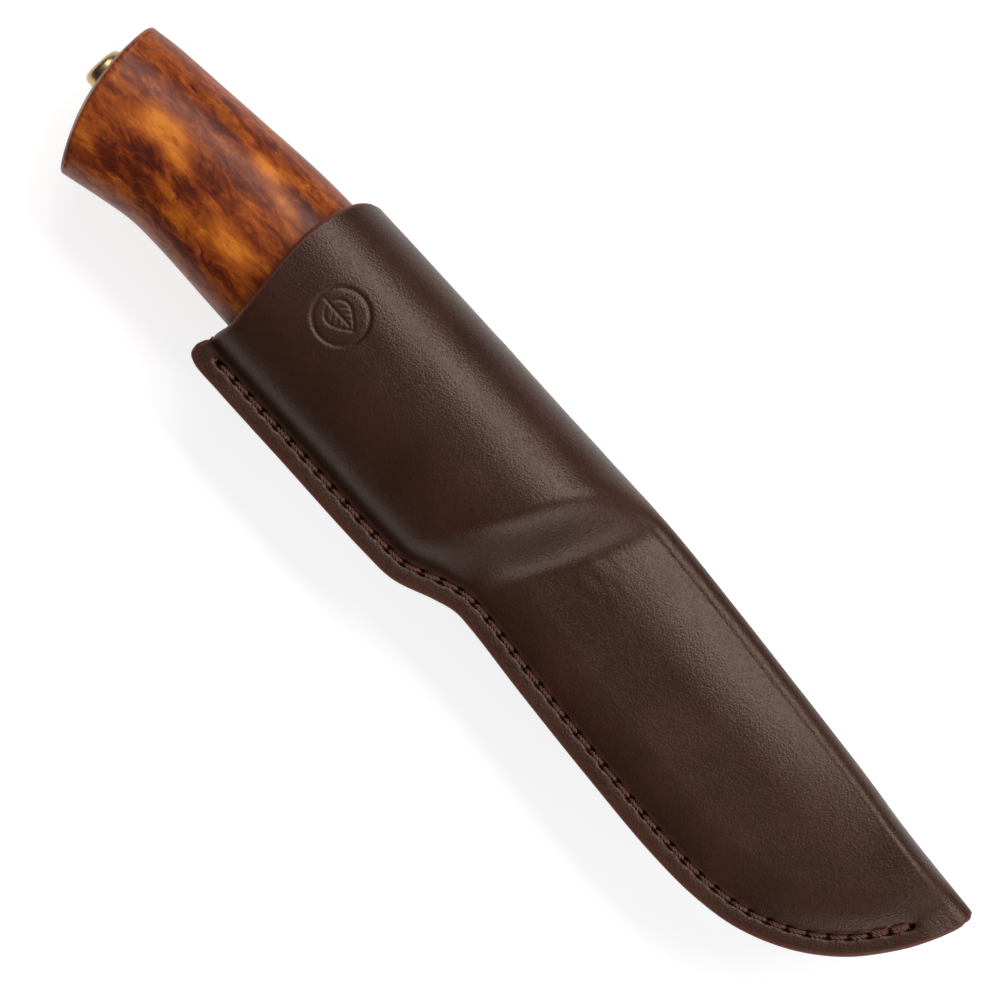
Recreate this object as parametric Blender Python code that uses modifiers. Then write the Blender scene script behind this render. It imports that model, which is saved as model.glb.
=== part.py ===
"""Sheath knife seated in its leather pouch sheath, one Blender object for each piece.

Metres, +Z up. The design is drawn in millimetres in a knife frame: +X runs to the blade's point,
+Y to the blade's spine, +Z out of the sheath's front face, with X = 0 at the handle's front end.
The assembly lies on the flat face of its belt loop, and the world origin is at the middle of the
bottom of its box.
"""
import math

import bmesh
import bpy
import numpy as np
from mathutils import Vector

MM = 0.001

# ---- driving dimensions, millimetres in the knife frame ----
LEATHER = 2.3            # thickness of the sheath leather
GAP = 0.3                # air between touching pieces
SEAM_HALF = 3.7          # half thickness of the sewn flange
TIP_HALF = 2.75          # half thickness where both leathers close at the tip
HANDLE_BULGE = 14.3      # half thickness of the sheath round the handle
BLADE_BULGE = 5.6        # half thickness of the sheath round the blade
BULGE_MID_Y = 0.2        # line of the bulge's crown
BULGE_EDGE_POWER = 2.2   # squareness of the bulge's section on its edge side
BULGE_SPINE_POWER = 2.4  # and on its spine side, where it ends at the fold
CREASE_INSET = 5.6       # edge to the foot of the handle's bulge
FLANGE_WIDTH = 5.0       # edge to where the face starts to rise over the blade
FACE_RISE = 9.0          # how far in from the flange that rise ends
FACE_RISE_POWER = 2.2
HANDLE_FOLD_REACH = 6.0  # how far the fold's rounding reaches in from the spine side
BLADE_FOLD_REACH = 3.5
SPINE_FALL = 2.6         # how much lower the face lies beside the fold than over the blade
SPINE_FALL_Y = 3.0       # where the face starts to fall towards the fold
SPINE_FALL_POWER = 1.8
NOSE_START_X = -3.0      # where the handle bulge starts to drop, on the line Y = 0
NOSE_SLANT = 0.42        # how far that line leans with Y
NOSE_LENGTH = 16.0
BULGE_BLEND = 3.0        # lower is softer, where the bulge rises out of the face

STITCH_INSET = 3.8       # stitch line, in from the edge
STITCH_PITCH = 3.94
STITCH_FIRST_X = -60.9
STITCH_LAST = (107.9, 4.6)
STITCH_HOLE_LENGTH = 2.1
STITCH_HOLE_WIDTH = 1.3
THREAD_RADIUS = 0.32
THREAD_LEG = 0.43        # a thread leg's distance from its hole's centre
THREAD_DEPTH = 0.75      # height of the thread's turn over the seam's middle
WELT_HALF = 1.1
WELT_INSET = 0.4
WELT_WIDTH = 5.6

LOOP_LEATHER = 2.3
LOOP_CUP = 0.06          # how far the strap's middle is hollowed over its long edges
LOOP_Y = (-12.5, 13.5)
LOOP_FLAT_Z = 19.8       # belt face of the loop, below the seam's middle
LOOP_TOP_TAB = (-65.0, -52.0)
LOOP_FLAT_X = (-45.0, 4.0)
LOOP_LOW_TAB = (20.0, 32.0)
RIVET_X = (-58.5, 26.0)
RIVET_Y = 0.5
RIVET_HEAD_R = 3.6
RIVET_HEAD_T = 0.55
RIVET_RECESS = 0.9
RIVET_SHANK_R = 1.4
RIVET_CAP_R = 4.3
RIVET_END = 1.1          # how far the post reaches into its cap

HANDLE_HALF_Z = 11.8
BUTT_BULGE = 3.2         # rise of the convex butt over its chord
BUTT_CROWN = 1.1         # how much lower the butt is at its front and back than in its middle
BOLSTER_X = (-9.5, -6.3)
BOLSTER_HALF = (12.6, 8.8)
BOLSTER_Y = -0.2
TANG_Y = -1.7
TANG_HALF_Z = 1.6
TANG_START_X = -6.3
TANG_END_X = -119.3
TANG_CLEARANCE = 0.35
CAP_R = 4.25
CAP_BASE_X = -116.2
CAP_CROWN_X = -119.9
BLADE_HALF_Z = 1.6
RICASSO_X = (-6.0, -1.0)
BEVEL_SHARE = 0.34       # of the blade's width, up to BEVEL_MOST
BEVEL_MOST = 8.5
KEEN_HALF = 0.06         # half thickness left at the cutting edge

FRAME_OFFSET = (2.602, 2.677, 22.1)  # from the knife frame's zero to the world's, millimetres

# ---- outlines, knife frame, smooth through these points ----
SHEATH_EDGE = [(-67.0, -24.4), (-66.6, -25.8), (-65.0, -26.5), (-58.0, -26.6), (-40.0, -26.4),
               (-16.0, -26.1), (-8.0, -25.4), (0.0, -22.1), (4.5, -20.6), (9.0, -20.5), (24.0, -21.5),
               (46.0, -22.6), (64.0, -23.1), (76.0, -22.4), (86.0, -20.2), (96.0, -15.2), (104.0, -8.2),
               (109.9, 0.5), (112.3, 5.6), (114.2, 11.2), (114.65, 14.2)]
SHEATH_FOLD = [(-63.6, 20.0), (-30.0, 20.65), (0.0, 21.0), (20.0, 21.3), (40.0, 20.4), (60.0, 19.2),
               (80.0, 17.9), (92.0, 16.8), (100.0, 16.3), (114.1, 15.7)]
SHEATH_MOUTH = [(-67.0, -24.4), (-66.6, -22.8), (-65.5, -20.0), (-65.1, -16.5), (-66.2, -9.5), (-67.8, 0.0),
                (-68.35, 7.0), (-67.9, 12.0), (-66.7, 17.0), (-65.3, 19.0), (-63.6, 20.0)]
HANDLE_SPINE = [(-9.8, 12.0), (-16.0, 14.4), (-28.0, 16.4), (-48.0, 17.0), (-66.0, 16.6),
                (-76.0, 16.0), (-88.0, 14.6), (-100.0, 13.1), (-112.0, 11.6), (-117.7, 10.5)]
HANDLE_EDGE = [(-9.8, -12.2), (-17.0, -14.8), (-30.0, -16.4), (-50.0, -16.8), (-70.0, -16.8),
               (-86.0, -16.85), (-93.0, -17.3), (-100.0, -18.9), (-108.3, -21.2)]
HANDLE_HALF_DEPTH = [(-9.8, 9.0), (-17.0, 10.6), (-34.0, 11.7), (-60.0, HANDLE_HALF_Z), (-90.0, 12.0),
                     (-119.0, 12.3)]
BLADE_SPINE = [(-6.0, 11.6), (66.0, 12.0), (90.0, 11.4), (102.0, 8.8)]
BLADE_EDGE = [(-6.0, -12.4), (58.0, -13.0), (72.0, -12.0), (84.0, -8.4), (94.0, -1.8), (99.5, 4.2),
              (102.0, 8.5)]
TANG_HALF_WIDTH = [(-6.3, 6.2), (-60.0, 4.2), (-112.0, 2.2), (-119.3, 1.6)]


def smooth_points(points, count):
    """A smooth curve through the points, as count points evenly spaced along it."""
    pts = np.array(points, dtype=float)
    ends = np.vstack([2 * pts[0] - pts[1], pts, 2 * pts[-1] - pts[-2]])
    dense = []
    for i in range(1, len(ends) - 2):
        p0, p1, p2, p3 = ends[i - 1:i + 3]
        steps = [max(math.dist(a, b), 1e-9) ** 0.5 for a, b in ((p0, p1), (p1, p2), (p2, p3))]
        knot = np.cumsum([0.0] + steps)
        for t in np.linspace(knot[1], knot[2], 24, endpoint=False):
            a1 = mix(p0, p1, (t - knot[0]) / (knot[1] - knot[0]))
            a2 = mix(p1, p2, (t - knot[1]) / (knot[2] - knot[1]))
            a3 = mix(p2, p3, (t - knot[2]) / (knot[3] - knot[2]))
            b1 = mix(a1, a2, (t - knot[0]) / (knot[2] - knot[0]))
            b2 = mix(a2, a3, (t - knot[1]) / (knot[3] - knot[1]))
            dense.append(mix(b1, b2, (t - knot[1]) / (knot[2] - knot[1])))
    dense = np.array(dense + [pts[-1]])
    walked = np.concatenate([[0.0], np.cumsum(np.linalg.norm(np.diff(dense, axis=0), axis=1))])
    wanted = np.linspace(0.0, walked[-1], count)
    return np.stack([np.interp(wanted, walked, dense[:, k]) for k in range(dense.shape[1])], axis=1)


def mix(a, b, t):
    return a + (b - a) * t


def smoothstep(low, high, value):
    t = min(max((value - low) / (high - low), 0.0), 1.0)
    return t * t * (3.0 - 2.0 * t)


EDGE_LINE = smooth_points([(-80.0, -26.6)] + SHEATH_EDGE[3:], 400)
FOLD_LINE = smooth_points(SHEATH_FOLD, 200)


def edge_distance(x, y):
    """Distance in from the sheath's long edge, taken as running straight on past the mouth's corner."""
    a = EDGE_LINE[:-1]
    step = EDGE_LINE[1:] - a
    to = np.array([x, y]) - a
    t = np.clip((to * step).sum(axis=1) / (step * step).sum(axis=1), 0.0, 1.0)
    return float(np.min(np.linalg.norm(to - step * t[:, None], axis=1)))


def fold_y(x):
    return float(np.interp(x, FOLD_LINE[:, 0], FOLD_LINE[:, 1]))


def bulge_drop(x, y):
    """1 over the handle, 0 over the blade, with a slanted S-shaped nose between."""
    start = NOSE_START_X + NOSE_SLANT * y
    return 1.0 - smoothstep(start, start + NOSE_LENGTH, x)


def fold_reach(x, y):
    return mix(BLADE_FOLD_REACH, HANDLE_FOLD_REACH, bulge_drop(x, y))


def sheath_height(x, y):
    """Height of the front leather's outer face over the seam's middle plane."""
    inset = edge_distance(x, y)
    from_tip = math.dist((x, y), (SHEATH_EDGE[-1][0], SHEATH_FOLD[-1][1]))
    seam = mix(TIP_HALF, SEAM_HALF, smoothstep(2.0, 11.0, from_tip))
    inward = min(max((inset - FLANGE_WIDTH) / FACE_RISE, 0.0), 1.0)
    rise = (1.0 - (1.0 - inward) ** FACE_RISE_POWER) * smoothstep(3.0, 18.0, from_tip)
    fold = fold_y(x)
    towards_fold = min(max((y - SPINE_FALL_Y) / (fold - BLADE_FOLD_REACH - SPINE_FALL_Y), 0.0), 1.0)
    fall = SPINE_FALL * towards_fold ** SPINE_FALL_POWER * smoothstep(10.0, 70.0, from_tip)
    depth = min(max((fold - y) / BLADE_FOLD_REACH, 0.0), 1.0)
    face = seam + (BLADE_BULGE - SEAM_HALF) * rise - fall
    face *= math.sqrt(1.0 - (1.0 - depth) ** 2)
    from_crown = abs(y - BULGE_MID_Y)
    if y < BULGE_MID_Y:
        to_foot, power = max(inset - CREASE_INSET, 0.0), BULGE_EDGE_POWER
    else:
        to_foot, power = max(fold - y, 0.0), BULGE_SPINE_POWER
    across = from_crown / max(from_crown + to_foot, 0.01)
    bulge = HANDLE_BULGE * (1.0 - across ** power) ** (1.0 / power)
    over_handle = (face ** BULGE_BLEND + bulge ** BULGE_BLEND) ** (1.0 / BULGE_BLEND)
    return mix(face, over_handle, bulge_drop(x, y))


# ---- scene and object helpers ----
def new_collection(name):
    collection = bpy.data.collections.new(name)
    bpy.context.scene.collection.children.link(collection)
    return collection


def clear_scene():
    for obj in list(bpy.data.objects):
        bpy.data.objects.remove(obj, do_unlink=True)


def material(name, colour, roughness, metallic=0.0):
    mat = bpy.data.materials.new(name)
    mat.use_nodes = True
    shader = mat.node_tree.nodes["Principled BSDF"]
    shader.inputs["Base Color"].default_value = (*colour, 1.0)
    shader.inputs["Roughness"].default_value = roughness
    shader.inputs["Metallic"].default_value = metallic
    return mat


def add_empty(name, place):
    """An empty at a knife-frame place, shifted into the world."""
    empty = bpy.data.objects.new(name, None)
    empty.location = [(place[k] + FRAME_OFFSET[k]) * MM for k in range(3)]
    empty["knife_frame_place"] = place
    PARTS.objects.link(empty)
    return empty


def face_outward(mesh):
    bm = bmesh.new()
    bm.from_mesh(mesh)
    bmesh.ops.recalc_face_normals(bm, faces=bm.faces)
    bm.to_mesh(mesh)
    bm.free()


def add_mesh(name, points, faces, parent, mat, collection=None, closed=True):
    """A mesh given in knife-frame millimetres, parented to an empty that carries its place."""
    origin = Vector(parent["knife_frame_place"])
    mesh = bpy.data.meshes.new(name)
    mesh.from_pydata([(Vector(p) - origin) * MM for p in points], [], faces)
    if closed:
        face_outward(mesh)
    mesh.shade_smooth()
    mesh.set_sharp_from_angle(angle=math.radians(40.0))
    obj = bpy.data.objects.new(name, mesh)
    obj.parent = parent
    if mat:
        mesh.materials.append(mat)
    (collection or PARTS).objects.link(obj)
    return obj


def as_cutter(obj):
    obj.hide_render = True
    obj.display_type = "WIRE"
    return obj


def cut(obj, cutter):
    mod = obj.modifiers.new("cut_" + cutter.name, "BOOLEAN")
    mod.operation = "DIFFERENCE"
    mod.solver = "EXACT"
    mod.object = cutter


def solidify(obj, thickness, offset):
    mod = obj.modifiers.new("leather", "SOLIDIFY")
    mod.thickness = thickness * MM
    mod.offset = offset
    mod.use_even_offset = True


def grid_faces(rows, columns):
    faces = []
    for i in range(rows - 1):
        for j in range(columns - 1):
            a = i * columns + j
            faces.append((a, a + columns, a + columns + 1, a + 1))
    return faces


def loft(sections):
    """Points and faces of a closed solid through rings that all have the same number of points."""
    ring = len(sections[0])
    points = [p for section in sections for p in section]
    faces = [tuple(reversed(range(ring)))]
    for i in range(len(sections) - 1):
        for j in range(ring):
            a = i * ring + j
            b = i * ring + (j + 1) % ring
            faces.append((a, b, b + ring, a + ring))
    last = (len(sections) - 1) * ring
    faces.append(tuple(range(last, last + ring)))
    return points, faces


def oval(centre, across, half_z, count, power=2.0):
    """A ring of points round a centre: across is the half axis in the X-Y plane."""
    ring = []
    for k in range(count):
        angle = 2.0 * math.pi * k / count
        c = math.copysign(abs(math.cos(angle)) ** (2.0 / power), math.cos(angle))
        s = math.copysign(abs(math.sin(angle)) ** (2.0 / power), math.sin(angle))
        ring.append((centre[0] + across[0] * c, centre[1] + across[1] * c, half_z * s))
    return ring


def turned(name, profile, parent, place, direction, mat, steps=14):
    """A turned piece: profile points are (radius, height), heights along direction, top to bottom."""
    mesh = bpy.data.meshes.new(name)
    steps_down = [(i, i + 1) for i in range(len(profile) - 1)]
    mesh.from_pydata([(r * MM, 0.0, h * MM) for r, h in profile], steps_down, [])
    obj = bpy.data.objects.new(name, mesh)
    obj.parent = parent
    obj.location = (Vector(place) - Vector(parent["knife_frame_place"])) * MM
    obj.rotation_mode = "QUATERNION"
    obj.rotation_quaternion = Vector(direction).to_track_quat("Z", "Y")
    mesh.materials.append(mat)
    PARTS.objects.link(obj)
    mod = obj.modifiers.new("turn", "SCREW")
    mod.steps = steps
    mod.render_steps = steps
    mod.use_merge_vertices = True
    mod.merge_threshold = 0.00002
    mod.use_smooth_shade = True
    return obj


# ---- sheath ----
def rib_fractions(edge, fold, normal):
    """Places along a rib from the edge to the fold: flange, crease, face, then the fold's rounding."""
    span = float(np.dot(fold - edge, normal))
    shrink = min(1.0, 0.5 * span / 13.0)
    flange = [inset * shrink / span for inset in (0.0, CREASE_INSET, 7.2, 9.4, 13.0)]
    mid = (edge + fold) * 0.5
    reach = min(fold_reach(mid[0], fold[1] - 5.0) / (fold[1] - edge[1]), 0.4)
    face = [mix(flange[-1], 1.0 - reach, k / 5.0) for k in range(1, 6)]
    rounding = [1.0 - reach * (1.0 - math.cos(math.radians(a))) for a in (68.0, 46.0, 23.0, 0.0)]
    return flange + face + rounding


def sheath_sheet():
    """Grid of the front leather's outer face, from the flange's edge to the fold's apex."""
    stations = 38
    edge = smooth_points(SHEATH_EDGE, stations)
    fold = smooth_points(SHEATH_FOLD, stations)
    mouth = smooth_points(SHEATH_MOUTH, 120)
    points = []
    for i in range(stations):
        ahead = edge[min(i + 1, stations - 1)] - edge[max(i - 1, 0)]
        normal = np.array([-ahead[1], ahead[0]]) / np.linalg.norm(ahead)
        fractions = rib_fractions(edge[i], fold[i], normal if i else np.array([0.0, 1.0]))
        mouth_pull = 1.0 - smoothstep(0.0, 6.0, i)
        for f in fractions:
            x, y = mix(edge[i], fold[i], f)
            level = mix(edge[0], fold[0], f)
            x += (float(np.interp(level[1], mouth[:, 1], mouth[:, 0])) - level[0]) * mouth_pull
            z = 0.0 if f == 1.0 else sheath_height(x, y)
            points.append((x, y, z))
    return points, stations, len(fractions)


def make_sheath_body(parent, mat):
    points, stations, columns = sheath_sheet()
    obj = add_mesh("sheath_body", points, grid_faces(stations, columns), parent, mat, closed=False)
    mirror = obj.modifiers.new("back_half", "MIRROR")
    mirror.use_axis = (False, False, True)
    mirror.merge_threshold = 0.00002
    solidify(obj, LEATHER, -1.0)
    return obj


def stitch_line():
    """Hole centres and stitch directions along the seam, one pitch apart."""
    edge = smooth_points(SHEATH_EDGE, 900)
    ahead = np.gradient(edge, axis=0)
    ahead /= np.linalg.norm(ahead, axis=1)[:, None]
    line = edge + np.stack([-ahead[:, 1], ahead[:, 0]], axis=1) * STITCH_INSET
    start = int(np.argmax((line[:, 0] > STITCH_FIRST_X) & (edge[:, 0] > -62.0)))
    end = int(np.argmin(np.linalg.norm(line - np.array(STITCH_LAST), axis=1)))
    line = line[start:end + 1]
    length = float(np.linalg.norm(np.diff(line, axis=0), axis=1).sum())
    count = round(length / STITCH_PITCH) + 1
    centres = smooth_points(line[::6].tolist() + [line[-1].tolist()], count)
    directions = np.gradient(centres, axis=0)
    directions /= np.linalg.norm(directions, axis=1)[:, None]
    return centres, directions


def make_stitch_cutter(parent, centres, directions):
    """Six-sided slots through the whole seam, one for each stitch hole."""
    points = []
    faces = []
    for (x, y), (dx, dy) in zip(centres, directions):
        ring = []
        for k in range(6):
            along = math.cos(math.pi * k / 3.0) * STITCH_HOLE_LENGTH / 2.0
            aside = math.sin(math.pi * k / 3.0) * STITCH_HOLE_WIDTH / 2.0
            ring.append((x + dx * along - dy * aside, y + dy * along + dx * aside))
        prism, sides = loft([[(px, py, z) for px, py in ring] for z in (-8.0, 8.0)])
        faces += [tuple(v + len(points) for v in side) for side in sides]
        points += prism
    return as_cutter(add_mesh("stitch_hole_cutter", points, faces, parent, None, CUTTERS))


def thread_path(centres, directions, side):
    """A running thread: over each stitch, down one side of a hole and up the other."""
    top = (SEAM_HALF + THREAD_RADIUS + 0.1) * side
    turn = THREAD_DEPTH * side
    path = []
    for k, ((x, y), (dx, dy)) in enumerate(zip(centres, directions)):
        before = (x - dx * THREAD_LEG, y - dy * THREAD_LEG)
        after = (x + dx * THREAD_LEG, y + dy * THREAD_LEG)
        if k > 0:
            path += [(*before, top), (*before, turn)]
        if k < len(centres) - 1:
            path += [(*after, turn), (*after, top)]
    return path


def make_tube(name, path, radius, parent, mat):
    """A thread as a bevelled curve, made a mesh with its caps welded on."""
    curve = bpy.data.curves.new(name, "CURVE")
    curve.dimensions = "3D"
    curve.bevel_depth = radius * MM
    curve.bevel_resolution = 0
    curve.use_fill_caps = True
    spline = curve.splines.new("POLY")
    spline.points.add(len(path) - 1)
    origin = Vector(parent["knife_frame_place"])
    for point, place in zip(spline.points, path):
        point.co = (*((Vector(place) - origin) * MM), 1.0)
    draft = bpy.data.objects.new(name + "_curve", curve)
    PARTS.objects.link(draft)
    bpy.context.view_layer.update()
    mesh = bpy.data.meshes.new_from_object(draft.evaluated_get(bpy.context.evaluated_depsgraph_get()))
    bpy.data.objects.remove(draft, do_unlink=True)
    bm = bmesh.new()
    bm.from_mesh(mesh)
    bmesh.ops.remove_doubles(bm, verts=bm.verts, dist=0.00001)
    bmesh.ops.recalc_face_normals(bm, faces=bm.faces)
    bm.to_mesh(mesh)
    bm.free()
    mesh.materials.clear()
    mesh.materials.append(mat)
    mesh.shade_smooth()
    obj = bpy.data.objects.new(name, mesh)
    obj.parent = parent
    PARTS.objects.link(obj)
    return obj


def make_welt(parent, mat):
    """Flat leather strip between the two flanges, from the mouth to just past the last stitch."""
    edge = smooth_points(SHEATH_EDGE, 90)
    ahead = np.gradient(edge, axis=0)
    ahead /= np.linalg.norm(ahead, axis=1)[:, None]
    inward = np.stack([-ahead[:, 1], ahead[:, 0]], axis=1)
    keep = (edge[:, 0] > -64.5) & ((edge[:, 1] < 5.6) | (edge[:, 0] < 90.0))
    outer = (edge + inward * WELT_INSET)[keep]
    inner = (edge + inward * (WELT_INSET + WELT_WIDTH))[keep]
    sections = []
    for o, i in zip(outer, inner):
        sections.append([(*o, -WELT_HALF), (*i, -WELT_HALF), (*i, WELT_HALF), (*o, WELT_HALF)])
    points, faces = loft(sections)
    return add_mesh("welt", points, faces, parent, mat)


def loop_height(x, y):
    """Depth of the belt loop's inner face below the seam's middle plane."""
    up = smoothstep(LOOP_TOP_TAB[1], LOOP_FLAT_X[0], x)
    up *= 1.0 - smoothstep(LOOP_FLAT_X[1], LOOP_LOW_TAB[0], x)
    across = 2.0 * (y - LOOP_Y[0]) / (LOOP_Y[1] - LOOP_Y[0]) - 1.0
    return mix(sheath_height(x, y) + GAP, LOOP_FLAT_Z - LOOP_CUP * (1.0 - across * across), up)


def make_belt_loop(parent, mat):
    xs = [-65.0, -61.0, -57.0, -54.0, -52.0, -50.5, -49.0, -47.5, -46.0, -45.0, -30.0, -12.0, 4.0, 6.0, 8.0,
          10.0, 12.0, 14.0, 16.0, 18.0, 20.0, 23.0, 26.0, 29.0, 32.0]
    ys = [mix(LOOP_Y[0], LOOP_Y[1], k / 6.0) for k in range(7)]
    points = [(x, y, -loop_height(x, y)) for x in xs for y in ys]
    obj = add_mesh("belt_loop", points, grid_faces(len(xs), len(ys)), parent, mat, closed=False)
    solidify(obj, LOOP_LEATHER, -1.0)
    return obj


def make_rivet(parent, brass, label, x):
    """Post with its flat head inside the sheath, and the domed cap that closes over its end."""
    outside = sheath_height(x, RIVET_Y)
    inside = outside - LEATHER
    loop_face = outside + GAP + LOOP_LEATHER
    end = loop_face + RIVET_END
    head = [(0.0, 0.0), (RIVET_HEAD_R, 0.0), (RIVET_HEAD_R, -RIVET_HEAD_T), (RIVET_SHANK_R, -RIVET_HEAD_T)]
    head += [(RIVET_SHANK_R, inside - end), (0.0, inside - end)]
    turned("rivet_post_" + label, head, parent, (x, RIVET_Y, -inside - 0.05), (0, 0, 1), brass)
    socket = RIVET_SHANK_R + GAP
    depth = RIVET_END + GAP
    cap = [(socket, 0.0), (RIVET_CAP_R, 0.0), (RIVET_CAP_R, -0.6), (RIVET_CAP_R * 0.8, -1.35)]
    cap += [(RIVET_CAP_R * 0.42, -1.85), (0.0, -2.0)]
    cap = [(0.0, -depth), (socket, -depth)] + cap
    turned("rivet_cap_" + label, cap, parent, (x, RIVET_Y, -loop_face - GAP), (0, 0, 1), brass)


def disc_cutter(name, x, radius, low, high, parent):
    """A short upright cylinder on a rivet's axis."""
    count = 12
    rings = []
    for z in (low, high):
        rings.append([(x + radius * math.cos(2 * math.pi * k / count),
                       RIVET_Y + radius * math.sin(2 * math.pi * k / count), z) for k in range(count)])
    points, faces = loft(rings)
    return as_cutter(add_mesh(name, points, faces, parent, None, CUTTERS))


def cut_rivet_holes(body, loop, label, x, parent):
    """A hole through leather and loop, and the recess that the rivet's inner head is pressed into."""
    inside = sheath_height(x, RIVET_Y) - LEATHER
    recess_floor = -inside - RIVET_RECESS
    head_r = RIVET_HEAD_R + GAP
    shank_r = RIVET_SHANK_R + GAP
    recess = disc_cutter("rivet_recess_" + label, x, head_r, recess_floor, -inside + 1.6, parent)
    hole = disc_cutter("rivet_hole_" + label, x, shank_r, -inside - 9.0, recess_floor + 0.4, parent)
    cut(body, recess)
    cut(body, hole)
    cut(loop, hole)


# ---- knife ----
def line_at(points, x):
    """Height of a smooth outline at x."""
    curve = smooth_points(points, 160)
    order = np.argsort(curve[:, 0])
    return float(np.interp(x, curve[order, 0], curve[order, 1]))


def make_handle(parent, mat):
    """Oval lofted along the handle, ending in a convex slanted butt with softened edges."""
    stations = 20
    count = 24
    spine = smooth_points(HANDLE_SPINE, stations)
    edge = smooth_points(HANDLE_EDGE, stations)
    sections = []
    for i in range(stations):
        centre = (spine[i] + edge[i]) / 2.0
        across = (spine[i] - edge[i]) / 2.0
        half = line_at(HANDLE_HALF_DEPTH, centre[0])
        grown = (i / (stations - 1)) ** 3
        sections.append(bowed(oval(centre, across, half, count, 2.3), centre, across, half, grown))
    for inset, rise in ((0.985, 0.45), (0.95, 0.75), (0.6, 0.8), (0.2, 0.8)):
        ring = oval(centre, across * inset, half * inset, count, 2.3)
        sections.append(bowed(ring, centre, across, half, 1.0, rise))
    points, faces = loft(sections)
    return add_mesh("handle", points, faces, parent, mat)


def bowed(ring, centre, across, half, grown, rise=0.0):
    """A ring pushed out along the butt's normal, most at its middle and least at front and back."""
    size = math.hypot(across[0], across[1])
    unit = (across[0] / size, across[1] / size)
    out = (-unit[1], unit[0])
    pushed = []
    for x, y, z in ring:
        s = ((x - centre[0]) * unit[0] + (y - centre[1]) * unit[1]) / size
        push = grown * (BUTT_BULGE * (1.0 - s * s) - BUTT_CROWN * (z / half) ** 2) + rise
        pushed.append((x + out[0] * push, y + out[1] * push, z))
    return pushed


def rectangle(x, y_low, y_high, half_z):
    return [(x, y_low, -half_z), (x, y_low, half_z), (x, y_high, half_z), (x, y_high, -half_z)]


def make_tang_cutter(parent):
    """Tapered channel for the tang through handle, bolster and cap."""
    sections = []
    for x in (4.0, TANG_START_X, -60.0, -112.0, TANG_END_X, -126.0):
        half = line_at(TANG_HALF_WIDTH, max(min(x, TANG_START_X), TANG_END_X)) + TANG_CLEARANCE
        sections.append(rectangle(x, TANG_Y - half, TANG_Y + half, TANG_HALF_Z + TANG_CLEARANCE))
    points, faces = loft(sections)
    return as_cutter(add_mesh("tang_cutter", points, faces, parent, None, CUTTERS))


def make_cap_cutter(parent):
    ring = []
    for x in (CAP_BASE_X + GAP, -128.0):
        ring.append([(x, TANG_Y + (CAP_R + GAP) * math.cos(2 * math.pi * k / 20),
                      (CAP_R + GAP) * math.sin(2 * math.pi * k / 20)) for k in range(20)])
    points, faces = loft(ring)
    return as_cutter(add_mesh("cap_seat_cutter", points, faces, parent, None, CUTTERS))


def make_bolster(parent, mat):
    """Oval plate with softened rims."""
    back, front = BOLSTER_X
    sections = []
    for x, scale in ((back, 1.0), (front - 0.8, 1.0), (front - 0.25, 0.975), (front, 0.93)):
        ring = oval((x, BOLSTER_Y), (0.0, BOLSTER_HALF[0] * scale), BOLSTER_HALF[1] * scale, 24, 2.2)
        sections.append(ring)
    points, faces = loft(sections)
    return add_mesh("bolster", points, faces, parent, mat)


def make_butt_cap(parent, mat):
    """Domed round cap that the tang's end is riveted over."""
    height = CAP_BASE_X - CAP_CROWN_X
    profile = [(0.0, height), (CAP_R * 0.45, height - 0.04), (CAP_R * 0.72, height - 0.2)]
    profile += [(CAP_R * 0.9, height - 0.62), (CAP_R, height - 1.3), (CAP_R, 0.0), (0.0, 0.0)]
    place = (CAP_BASE_X, TANG_Y, 0.0)
    return turned("butt_cap", profile, parent, place, (-1, 0, 0), mat, steps=24)


def blade_section(x, spine, edge, half):
    """Six points: spine, the bevel's shoulder, the cutting edge, and back up the other face."""
    shoulder = mix(edge, spine, min(BEVEL_SHARE, BEVEL_MOST / max(spine - edge, 0.1)))
    return [(x, spine, half), (x, spine, -half), (x, shoulder, -half), (x, edge, -KEEN_HALF),
            (x, edge, KEEN_HALF), (x, shoulder, half)]


def make_blade(parent, mat):
    """Blade and stick tang in one forging."""
    sections = []
    for x in (TANG_END_X, -112.0, -86.0, -60.0, -30.0, TANG_START_X):
        half = line_at(TANG_HALF_WIDTH, x)
        low, high = TANG_Y - half, TANG_Y + half
        sections.append([(x, high, TANG_HALF_Z), (x, high, -TANG_HALF_Z), (x, TANG_Y, -TANG_HALF_Z),
                         (x, low, -TANG_HALF_Z), (x, low, TANG_HALF_Z), (x, TANG_Y, TANG_HALF_Z)])
    spine = line_at(BLADE_SPINE, RICASSO_X[0])
    edge = line_at(BLADE_EDGE, RICASSO_X[0])
    for x in RICASSO_X:
        sections.append([(x, spine, BLADE_HALF_Z), (x, spine, -BLADE_HALF_Z), (x, TANG_Y, -BLADE_HALF_Z),
                         (x, edge, -BLADE_HALF_Z), (x, edge, BLADE_HALF_Z), (x, TANG_Y, BLADE_HALF_Z)])
    for x in (2.0, 18.0, 36.0, 50.0, 60.0, 68.0, 74.0, 80.0, 85.0, 89.0, 93.0, 96.0, 98.5, 100.5, 101.8):
        taper = mix(1.0, 0.3, smoothstep(55.0, 102.0, x))
        section = blade_section(x, line_at(BLADE_SPINE, x), line_at(BLADE_EDGE, x), BLADE_HALF_Z * taper)
        sections.append(section)
    points, faces = loft(sections)
    return add_mesh("blade", points, faces, parent, mat)


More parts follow.
